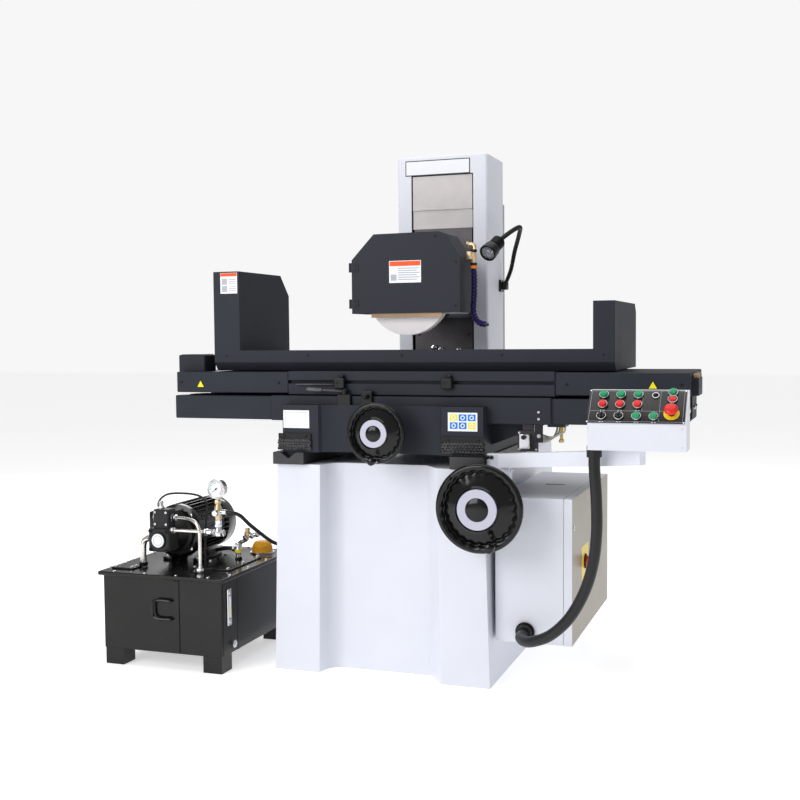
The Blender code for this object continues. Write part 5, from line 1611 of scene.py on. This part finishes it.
@dataclass
class WorkLamp:
    """The work lamp on its ribbed gooseneck."""

    bench: Bench
    pivot: Triple = (0.3105, FRONT + 0.5155, 1.5535)
    aim: Triple = (-0.03, -0.085, -0.058)
    length: float = 0.105
    fins: int = 7

    def build(self) -> None:
        """Makes the foot, the gooseneck and the head."""
        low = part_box("lamp_arm")[0]
        side = low.x
        parts = [Part(slab((side, FRONT + 0.85, 1.372), (side + 0.01, FRONT + 0.905, 1.42), 0.003),
                      SATIN_BLACK),
                 Part(slab((side + 0.009, FRONT + 0.858, 1.38), (side + 0.03, FRONT + 0.897, 1.412), 0.004),
                      SATIN_BLACK)]
        parts += screws((side + 0.01,), (FRONT + 0.854,), (1.378, 1.414), RIGHT, 0.0028, 0.002, STEEL)
        route = smooth_route([(side + 0.02, FRONT + 0.875, 1.4), (0.262, FRONT + 0.87, 1.46),
                              (0.285, FRONT + 0.84, 1.53), (0.32, FRONT + 0.77, 1.59),
                              (0.345, FRONT + 0.68, 1.612), (0.335, FRONT + 0.59, 1.59),
                              (0.312, FRONT + 0.52, 1.556)], 0.0052)
        rib = [(0.0, 0.0046), (0.0072, 0.0046), (0.0088, 0.0032), (0.0088, 0.0014), (0.0072, 0.0),
               (0.0, 0.0)]
        parts += [Part(lathe(rib, here, after - here, 16), SATIN_BLACK)
                  for here, after in zip(route, route[1:])]
        parts.append(Part(ring(0.0115, 0.006, 0.012, route[0], route[1] - route[0], 28), SATIN_BLACK))
        self.bench.make("lamp_gooseneck", self.bench.body_of("lamp_arm"), parts, "lamp_arm")
        self.head()

    def head(self) -> None:
        """Makes the finned head with its reflector and three lenses."""
        end = self.length
        profile: list[Pair] = [(0.0, 0.006), (0.012, 0.006), (0.018, 0.011)]
        for fin in range(self.fins):
            foot = 0.016 + 0.006 * fin
            profile += [(0.0205, foot), (0.0258, foot + 0.0008), (0.0258, foot + 0.003),
                        (0.0205, foot + 0.0038)]
        profile += [(0.025, 0.06), (0.03, 0.066), (0.0312, 0.072), (0.0312, end - 0.016),
                    (0.0328, end - 0.014),
                    (0.0328, end - 0.002), (0.0318, end), (0.0276, end), (0.0268, end - 0.004),
                    (0.0215, end - 0.024), (0.0, end - 0.025)]
        forward = Vector(self.aim).normalized()
        parts = [Part(lathe(profile, self.pivot, self.aim, 48), SATIN_BLACK)]
        cone = [(0.021, end - 0.0238), (0.0264, end - 0.0045), (0.0258, end - 0.004), (0.02, end - 0.0235)]
        parts.append(Part(spun([*cone, cone[0]], self.pivot, self.aim, 48), STEEL))
        parts.append(Part(lathe([(0.0, end - 0.0232), (0.0205, end - 0.0232), (0.0205, end - 0.0242),
                                 (0.0, end - 0.0242)], self.pivot, self.aim, 48), LABEL_GREY))
        side = forward.orthogonal().normalized()
        over = forward.cross(side)
        for turn in (math.radians(90 + 120 * step) for step in range(3)):
            at = Vector(self.pivot) + forward * (end - 0.0245) + (side * math.cos(turn)
                                                                  + over * math.sin(turn)) * 0.0105
            parts.append(Part(lathe([(0.0, 0.007), (0.004, 0.0062), (0.0072, 0.003), (0.0078, 0.0),
                                     (0.0, 0.0)], at, forward, 24), LENS))
        self.bench.make("lamp_head_finned", "lamp_head_body", parts, "lamp_head")


@dataclass
class PowerUnit:
    """The hydraulic power unit: tank, lid, motor, pump, pipes, gauge and filler cap."""

    bench: Bench
    motor_x: float = -0.84
    motor_z: float = 0.465
    motor_radius: float = 0.104
    fins: int = 34

    def build(self) -> None:
        """Builds every part of the power unit."""
        self.tank()
        self.lid()
        self.motor()
        self.pump()
        self.pipes()
        self.gauge()
        self.return_valve()
        self.filler()

    def tank(self) -> None:
        """Adds the rib, the handle, the level gauge, the drain plug and the seams."""
        low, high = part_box("hydraulic_tank")
        foot = low.z + 0.06
        front, side = low.y, high.x
        extras = [Part(slab((-0.739, front - 0.004, foot + 0.004), (-0.714, front + 0.001, high.z - 0.004),
                            0.002), TANK_BLACK),
                  Part(slab((side - 0.003, front + 0.012, foot + 0.002),
                            (side + 0.0015, front + 0.018, high.z - 0.01), 0.001), TANK_BLACK)]
        out = front - 0.0132
        grip = [(-0.742, front + 0.001, 0.253), (-0.742, out + 0.001, 0.253), (-0.754, out, 0.253),
                (-0.78, out, 0.254), (-0.804, out, 0.252), (-0.815, out, 0.242), (-0.817, out, 0.22),
                (-0.815, out, 0.198), (-0.804, out, 0.188), (-0.78, out, 0.186), (-0.754, out, 0.187),
                (-0.742, out + 0.001, 0.187), (-0.742, front + 0.001, 0.187)]
        extras.append(Part(tube(grip, 0.005, 0.004, 3), GLOSS_BLACK))
        y0, y1, z0, z1 = -0.64, -0.612, 0.165, 0.298
        extras += [Part(slab((side, y0, z0), (side + 0.006, y1, z1), 0.003), STEEL),
                   Part(slab((side + 0.0056, y0 + 0.008, z0 + 0.028),
                             (side + 0.0066, y1 - 0.008, z1 - 0.028), 0.0004), LABEL_WHITE),
                   Part(slab((side + 0.006, y0 + 0.0125, z0 + 0.03),
                             (side + 0.0072, y1 - 0.0125, z0 + 0.07)), LABEL_YELLOW)]
        extras += [Part(lathe([(0.0, 0.005), (0.006, 0.004), (0.008, 0.0), (0.0, 0.0)], (side + 0.005,
                        (y0 + y1) / 2, z), RIGHT, 24), STEEL) for z in (z0 + 0.014, z1 - 0.014)]
        extras.append(Part(hex_nut((side, -0.6, 0.092), RIGHT, 0.026, 0.012), STEEL))
        extras.append(Part(slab((side - 0.001, -0.56, foot), (side + 0.0008, -0.55, high.z - 0.004)),
                           TANK_BLACK))
        self.bench.refine("hydraulic_tank", TANK_BLACK, 0.003, 3, extras)

    def lid(self) -> None:
        """Adds the two cover plates and all the bolts."""
        low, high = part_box("tank_lid")
        top = high.z
        extras = []
        for (x0, y0), (x1, y1) in (((-0.735, -0.56), (-0.575, -0.3)), ((-1.02, -0.64), (-0.93, -0.56))):
            extras.append(Part(slab((x0, y0, top - 0.0005), (x1, y1, top + 0.006), 0.002), TANK_BLACK))
            spots = [(x, y) for x in (x0 + 0.012, x1 - 0.012)
                     for y in (y0 + 0.012, (y0 + y1) / 2, y1 - 0.012)]
            extras += [Part(hex_nut((x, y, top + 0.006), UP, 0.011, 0.005), STEEL) for x, y in spots]
        count = 4
        for step in range(count):
            share = (step + 0.5) / count
            spots = [(low.x + (high.x - low.x) * share, y) for y in (low.y + 0.012, high.y - 0.012)]
            spots += [(x, low.y + (high.y - low.y) * share) for x in (low.x + 0.012, high.x - 0.012)]
            extras += [Part(hex_nut((x, y, top), UP, 0.01, 0.004), STEEL) for x, y in spots]
        self.bench.refine("tank_lid", TANK_BLACK, 0.002, 3, extras)

    def motor(self) -> None:
        """Makes the finned motor with its end shields, feet and terminal box."""
        axis = Vector((self.motor_x, FRONT + 0.072, self.motor_z))
        r = self.motor_radius
        core = [(0.0, 0.0), (0.083, 0.0), (r * 0.98, 0.009), (r * 0.98, 0.03), (r * 0.86, 0.034),
                (r * 0.86, 0.228),
                (r * 0.97, 0.232), (r * 0.97, 0.288), (r * 0.9, 0.3), (r * 0.8, 0.307), (0.0, 0.307)]
        parts = [Part(lathe(core, axis, AWAY, 72), GLOSS_BLACK)]
        for step in range(self.fins):
            turn = 2 * math.pi * (step + 0.5) / self.fins
            if math.sin(turn) < -0.8:
                continue
            fin = slab((r * 0.85, -0.0016, 0.036), (r * 0.995, 0.0016, 0.228), 0.0006, 1)
            spin = Matrix.Rotation(turn, 4, "Z")
            parts.append(Part(moved(moved(fin, spin), aimed(axis, AWAY)), GLOSS_BLACK))
        slots = 16
        for step in range(slots):
            turn = 2 * math.pi * step / slots
            slot_part = slab((r * 0.32, -0.003, 0.3062), (r * 0.72, 0.003, 0.3076))
            parts.append(Part(moved(moved(slot_part, Matrix.Rotation(turn, 4, "Z")), aimed(axis, AWAY)),
                              CHARCOAL_SHADE))
        for step in range(4):
            turn = math.radians(45 + 90 * step)
            at = axis + Vector((0.09 * math.cos(turn), -0.0005, 0.09 * math.sin(turn)))
            parts.append(Part(hex_nut(at, TOWARDS, 0.012, 0.003), STEEL))
        foot_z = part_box("hydraulic_motor")[0].z
        for x in (self.motor_x - 0.085, self.motor_x + 0.045):
            parts.append(Part(slab((x, FRONT + 0.11, foot_z), (x + 0.04, FRONT + 0.27, foot_z + 0.012),
                                   0.003), GLOSS_BLACK))
            parts.append(Part(slab((x + 0.01, FRONT + 0.13, foot_z + 0.006), (x + 0.03, FRONT + 0.25,
                              self.motor_z - r * 0.7), 0.004), GLOSS_BLACK))
            parts += [Part(hex_nut((x + 0.02, y, foot_z + 0.0115), UP, 0.014, 0.007), STEEL)
                      for y in (FRONT + 0.12, FRONT + 0.26)]
        low = (self.motor_x - 0.155, FRONT + 0.13, self.motor_z - 0.02)
        high = (self.motor_x - 0.088, FRONT + 0.22, self.motor_z + 0.06)
        parts += [Part(slab(low, high, 0.006, 3), GLOSS_BLACK),
                  Part(slab((low[0] + 0.002, low[1] + 0.003, high[2] - 0.004),
                            (high[0] - 0.01, high[1] - 0.003, high[2]), 0.002), SATIN_BLACK)]
        parts.append(Part(hex_nut((low[0] + 0.03, low[1] + 0.001, self.motor_z + 0.015), TOWARDS, 0.022,
                                  0.012), SATIN_BLACK))
        self.bench.make("hydraulic_motor_finned", self.bench.body_of("hydraulic_motor"), parts,
                        "hydraulic_motor")

    def pump(self) -> None:
        """Dresses the pump with its badge, bolts, fittings and suction cap."""
        x, y, z = self.motor_x, FRONT - 0.055, self.motor_z - 0.012
        extras = [Part(ring(0.0302, 0.0255, 0.0035, (x, y - 0.0035, z), TOWARDS, 48, 0.001), CAST_BLACK),
                  Part(lathe([(0.0, 0.0012), (0.0252, 0.001), (0.0255, 0.0), (0.0, 0.0)], (x, y - 0.006, z),
                             TOWARDS, 48), LABEL_WHITE),
                  Part(ring(0.019, 0.0175, 0.0005, (x, y - 0.007, z), TOWARDS, 48, 0.0001), LABEL_GREY)]
        extras += [Part(screw_head((x + dx, y + 0.0005, z + dz), TOWARDS, 0.0065, 0.006), SATIN_BLACK)
                   for dx in (-0.034, 0.034) for dz in (-0.034, 0.034)]
        head = z + 0.08
        extras += [Part(hex_nut((x + 0.0335, FRONT - 0.015, head), RIGHT, 0.022, 0.0008), STEEL),
                   Part(lathe([(0.0, 0.03), (0.007, 0.03), (0.009, 0.026), (0.009, 0.01), (0.012, 0.008),
                               (0.012, 0.0), (0.0, 0.0)], (x - 0.01, FRONT - 0.016, z + 0.111), UP, 28),
                        STEEL),
                   Part(hex_nut((x - 0.0275, FRONT - 0.014, head), LEFT, 0.026, 0.014), STEEL),
                   Part(ring(0.0165, 0.0115, 0.014, (x - 0.088, FRONT - 0.02, 0.348), UP, 32), GLOSS_BLACK),
                   Part(ring(0.015, 0.0115, 0.012, (x - 0.057, FRONT - 0.02, z), RIGHT, 32), SATIN_BLACK)]
        extras += [Part(screw_head((x + dx, FRONT - 0.0428, head + dz), TOWARDS, 0.0045, 0.004), STEEL)
                   for dx in (-0.02, 0.026) for dz in (-0.022, 0.022)]
        extras.append(Part(tube([(-0.972, -0.38, 0.52), (-0.966, -0.395, 0.56), (-0.925, -0.4, 0.592),
                                 (-0.85, -0.405, 0.6), (-0.77, -0.425, 0.596), (-0.72, -0.46, 0.575),
                                 (-0.7, -0.5, 0.52), (-0.694, -0.52, 0.43), (-0.692, -0.525, 0.352)], 0.004,
                                0.01, 2), RUBBER))

        def on_suction_pipe(face: Any) -> bool:
            """True for the bright suction pipe at the pump's left."""
            return face.center.x < x - 0.058

        self.bench.refine("hydraulic_pump", CAST_BLACK, 0.0022, 2, extras, [(PIPE_STEEL, on_suction_pipe)])

    def pipes(self) -> None:
        """Bends the bright pressure pipe and gives it its nuts."""
        x, z = self.motor_x, self.motor_z - 0.012
        start = (x + 0.0346, FRONT - 0.015, z + 0.08)
        drop = (-0.665, FRONT - 0.062)
        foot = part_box("pressure_pipe")[0].z
        route = [start, (x + 0.05, FRONT - 0.015, z + 0.08), (-0.74, FRONT - 0.026, z + 0.08),
                 (-0.69, FRONT - 0.054, z + 0.076), (-0.669, FRONT - 0.061, z + 0.055), (*drop, z + 0.02),
                 (*drop, 0.375), (*drop, foot)]
        parts = [Part(tube(route, 0.0065, 0.006, 4), PIPE_STEEL),
                 Part(hex_nut(Vector(start) + Vector((0.004, 0, 0)), RIGHT, 0.021, 0.016), STEEL),
                 Part(hex_nut((*drop, foot + 0.002), UP, 0.024, 0.014), STEEL),
                 Part(ring(0.009, 0.0063, 0.008, (*drop, foot + 0.016), UP, 28), STEEL)]
        self.bench.make("pressure_pipe_bent", self.bench.body_of("pressure_pipe"), parts, "pressure_pipe")

    def gauge(self) -> None:
        """Builds the gauge with its dial, stem, tee and relief valve."""
        x, y = -0.6, FRONT - 0.04
        pump_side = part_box("pressure_gauge")[0].x
        dial = Vector((x, y - 0.0138, 0.651))
        parts = [Part(lathe([(0.0, 0.0), (0.03, 0.0), (0.034, 0.003), (0.034, 0.026), (0.0, 0.026)],
                            (x, y + 0.014, 0.651), TOWARDS, 56), STEEL),
                 Part(ring(0.0362, 0.0305, 0.007, (x, y - 0.01, 0.651), TOWARDS, 64, 0.002), STEEL),
                 Part(disc(0.0307, 0.0008, dial + Vector((0, 0.0016, 0)), TOWARDS, 56), LABEL_WHITE)]
        parts += self.scale(dial)
        parts += [Part(lathe([(0.0, 0.0), (0.0095, 0.0), (0.0122, 0.005), (0.0135, 0.022), (0.0135, 0.046),
                              (0.0105, 0.052), (0.008, 0.058), (0.008, 0.084), (0.0, 0.084)], (x, y, 0.537),
                             UP, 32), BRASS),
                  Part(hex_nut((x, y, 0.597), UP, 0.022, 0.013), BRASS),
                  Part(lathe([(0.0, 0.0), (0.0125, 0.0), (0.0135, 0.005), (0.0135, 0.02), (0.01, 0.026),
                              (0.01, 0.04), (0.0125, 0.044), (0.0125, 0.056), (0.009, 0.06), (0.0, 0.06)],
                             (x, y, 0.48), UP, 32), STEEL),
                  Part(hex_nut((x, y, 0.512), UP, 0.024, 0.012), STEEL),
                  Part(tube([(pump_side, y, 0.49), (-0.7, y, 0.49), (-0.575, y, 0.49)], 0.0066, 0.02, 4),
                       PIPE_STEEL),
                  Part(hex_nut((pump_side + 0.001, y, 0.49), RIGHT, 0.021, 0.014), STEEL),
                  Part(hex_nut((-0.66, y, 0.49), RIGHT, 0.024, 0.016), STEEL),
                  Part(ring(0.01, 0.0065, 0.018, (-0.644, y, 0.49), RIGHT, 28), STEEL),
                  Part(hex_nut((-0.626, y, 0.49), RIGHT, 0.026, 0.014), STEEL),
                  Part(hex_nut((-0.588, y, 0.49), RIGHT, 0.022, 0.012), STEEL),
                  Part(hex_nut((x - 0.012, y, 0.566), RIGHT, 0.022, 0.026), STEEL),
                  Part(ring(0.01, 0.0072, 0.02, (-0.586, y, 0.566), RIGHT, 28), STEEL),
                  Part(lathe([(0.0, 0.026), (0.0095, 0.026), (0.011, 0.022), (0.011, 0.014), (0.005, 0.01),
                              (0.005, 0.0), (0.0, 0.0)], (x + 0.004, y - 0.01, 0.566), TOWARDS, 32), STEEL)]
        self.bench.make("pressure_gauge_dial", self.bench.body_of("pressure_gauge"), parts, "pressure_gauge")

    def scale(self, dial: Vector) -> list[Part]:
        """The gauge's ticks, coloured arcs and needle.

        Args:
            dial: The middle of the dial's face.

        Returns:
            The parts.
        """
        parts = []
        ticks = 28
        for step in range(ticks + 1):
            degrees = 225 - 270 * step / ticks
            turn = math.radians(degrees)
            spot = Vector((math.cos(turn), 0.0, math.sin(turn)))
            major = step % 4 == 0
            finish = LABEL_GREEN if 4 <= step <= 14 else RED_CAP if step > 20 else LABEL_BLACK
            mark = slab((-0.0045 if major else -0.0025, 0.0, -0.0005), (0.0, 0.0006, 0.0005))
            turned = Matrix.Rotation(-turn, 4, "Y")
            parts.append(Part(moved(mark, Matrix.Translation(dial + spot * 0.0285
                                                             + Vector((0, -0.0004, 0))) @ turned),
                              LABEL_BLACK))
            band = slab((-0.0016, 0.0, -0.0014), (0.0, 0.0006, 0.0014))
            parts.append(Part(moved(band, Matrix.Translation(dial + spot * 0.0226
                                                             + Vector((0, -0.0002, 0))) @ turned),
                              finish if finish is not LABEL_BLACK else LABEL_WHITE))
        needle = plate([(-0.007, 0.0, -0.0012), (0.02, 0.0, -0.0003), (0.02, 0.0, 0.0003),
                        (-0.007, 0.0, 0.0012)], (0.0, -0.0006, 0.0))
        rest = Matrix.Translation(dial + Vector((0, -0.0012, 0))) @ Matrix.Rotation(math.radians(-220), 4,
                                                                                    "Y")
        parts.append(Part(moved(needle, rest), LABEL_BLACK))
        parts.append(Part(lathe([(0.0, 0.0028), (0.0028, 0.0022), (0.0032, 0.0), (0.0, 0.0)], dial, TOWARDS,
                                24), LABEL_BLACK))
        return parts

    def return_valve(self) -> None:
        """Builds the return valve that stands on the lid in front of the filler cap."""
        x, y, lid = -0.637, -0.3685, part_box("tank_lid")[1].z
        knee = Vector((x + 0.04, y, lid + 0.098))
        parts = [Part(hex_nut((x, y, lid), UP, 0.026, 0.014), SATIN_BLACK),
                 Part(lathe([(0.0, 0.0), (0.0095, 0.0), (0.0095, 0.014), (0.0125, 0.018), (0.0125, 0.034),
                             (0.01, 0.038), (0.01, 0.056), (0.0, 0.056)], (x, y, lid + 0.012), UP, 32),
                      STEEL),
                 Part(ring(0.0132, 0.012, 0.012, (x, y, lid + 0.032), UP, 32), LABEL_YELLOW),
                 Part(hex_nut((x, y, lid + 0.054), UP, 0.027, 0.012), STEEL),
                 Part(tube([(x, y, lid + 0.058), (x + 0.012, y, lid + 0.072), (x + 0.03, y, lid + 0.08),
                            knee], 0.008, 0.005), STEEL),
                 Part(hex_nut(knee - Vector((0.012, 0.0, 0.013)), (0.8, 0.0, 0.6), 0.024, 0.012), STEEL),
                 Part(lathe([(0.0, 0.0), (0.01, 0.0), (0.0125, 0.004), (0.0125, 0.02), (0.0085, 0.024),
                             (0.0085, 0.032), (0.0, 0.032)], knee - Vector((0.0, 0.0, 0.008)), UP, 32),
                      BRASS),
                 Part(hex_nut(knee + Vector((0.0, 0.0, 0.022)), UP, 0.018, 0.008), BRASS),
                 Part(tube([knee, knee + Vector((0.02, 0.0, 0.002)), knee + Vector((0.048, 0.0, 0.009))],
                           0.0072, 0.006), STEEL),
                 Part(hex_nut(knee + Vector((0.014, 0.0, 0.001)), RIGHT, 0.022, 0.012), STEEL),
                 Part(hex_nut(knee + Vector((0.036, 0.0, 0.007)), RIGHT, 0.021, 0.011), STEEL),
                 Part(tube([(x, y, lid + 0.046), (x - 0.04, y, lid + 0.046),
                            (x - 0.075, y + 0.004, lid + 0.04),
                            (x - 0.1, y + 0.01, lid + 0.034)], 0.0075, 0.008), RUBBER),
                 Part(hex_nut((x - 0.012, y, lid + 0.046), LEFT, 0.022, 0.012), STEEL)]
        self.bench.make("return_valve", self.bench.body_of("tank_lid"), parts)

    def filler(self) -> None:
        """Makes the yellow domed filler cap on its silver flange."""
        low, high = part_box("filler_cap")
        at = ((low.x + high.x) / 2, (low.y + high.y) / 2, low.z)
        flange = [(0.0, 0.006), (0.0475, 0.006), (0.0485, 0.005), (0.0485, 0.0), (0.0, 0.0)]
        dome = [(0.0, 0.05), (0.016, 0.0488), (0.028, 0.045), (0.0355, 0.037), (0.0382, 0.028),
                (0.0388, 0.011), (0.0402, 0.009), (0.0402, 0.0058), (0.0, 0.0058)]
        parts = [Part(lathe(flange, at, UP, 56), STEEL), Part(lathe(dome, at, UP, 56), FILLER_YELLOW)]
        parts += [Part(screw_head((at[0] + 0.0442 * math.cos(turn), at[1] + 0.0442 * math.sin(turn),
                                   low.z + 0.0058), UP,
                                  0.0032, 0.003), STEEL) for turn in (math.radians(60 * step)
                                                                      for step in range(6))]
        grips = 24
        for step in range(grips):
            turn = Matrix.Rotation(2 * math.pi * step / grips, 4, "Z")
            rib = moved(slab((0.0375, -0.0014, 0.012), (0.04, 0.0014, 0.027), 0.0006, 1), turn)
            parts.append(Part(moved(rib, Matrix.Translation(at)), FILLER_YELLOW))
        self.bench.make("filler_cap_domed", "filler_cap_body", parts, "filler_cap")


def main() -> None:
    """Loads the frame and builds every piece on it."""
    logging.basicConfig(level=logging.INFO, format="%(name)s: %(message)s")
    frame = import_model()
    bench = Bench(frame)
    studio = Studio()
    studio.place_camera()
    Cords(bench).build()
    studio.build(bench)
    Base(bench).build()
    Column(bench).build()
    GrindingHead(bench).build()
    Saddle(bench).build()
    Table(bench).build()
    Handwheel(bench, "cross_handwheel", "cross_handle", (0.02, FRONT - 0.05, 0.866), 0.105, 0.042,
              (0.0232, -0.6297, 0.7747)).build()
    Handwheel(bench, "elevating_handwheel", "elevating_handle", (0.397, FRONT - 0.1, 0.632), 0.1475, 0.052,
              (0.4451, -0.6867, 0.513), waves=24, knob_angle=math.radians(134)).build()
    bench.refine("elevating_gearbox", WHITE, 0.004, 3)
    Cabinet(bench).build()
    Pendant(bench).build()
    WorkLamp(bench).build()
    PowerUnit(bench).build()
    bench.refine("cross_screw", STEEL, 0.0008, 2)
    bench.refine("conduit_gland", RUBBER, 0.002, 2)


if __name__ == "__main__":
    main()
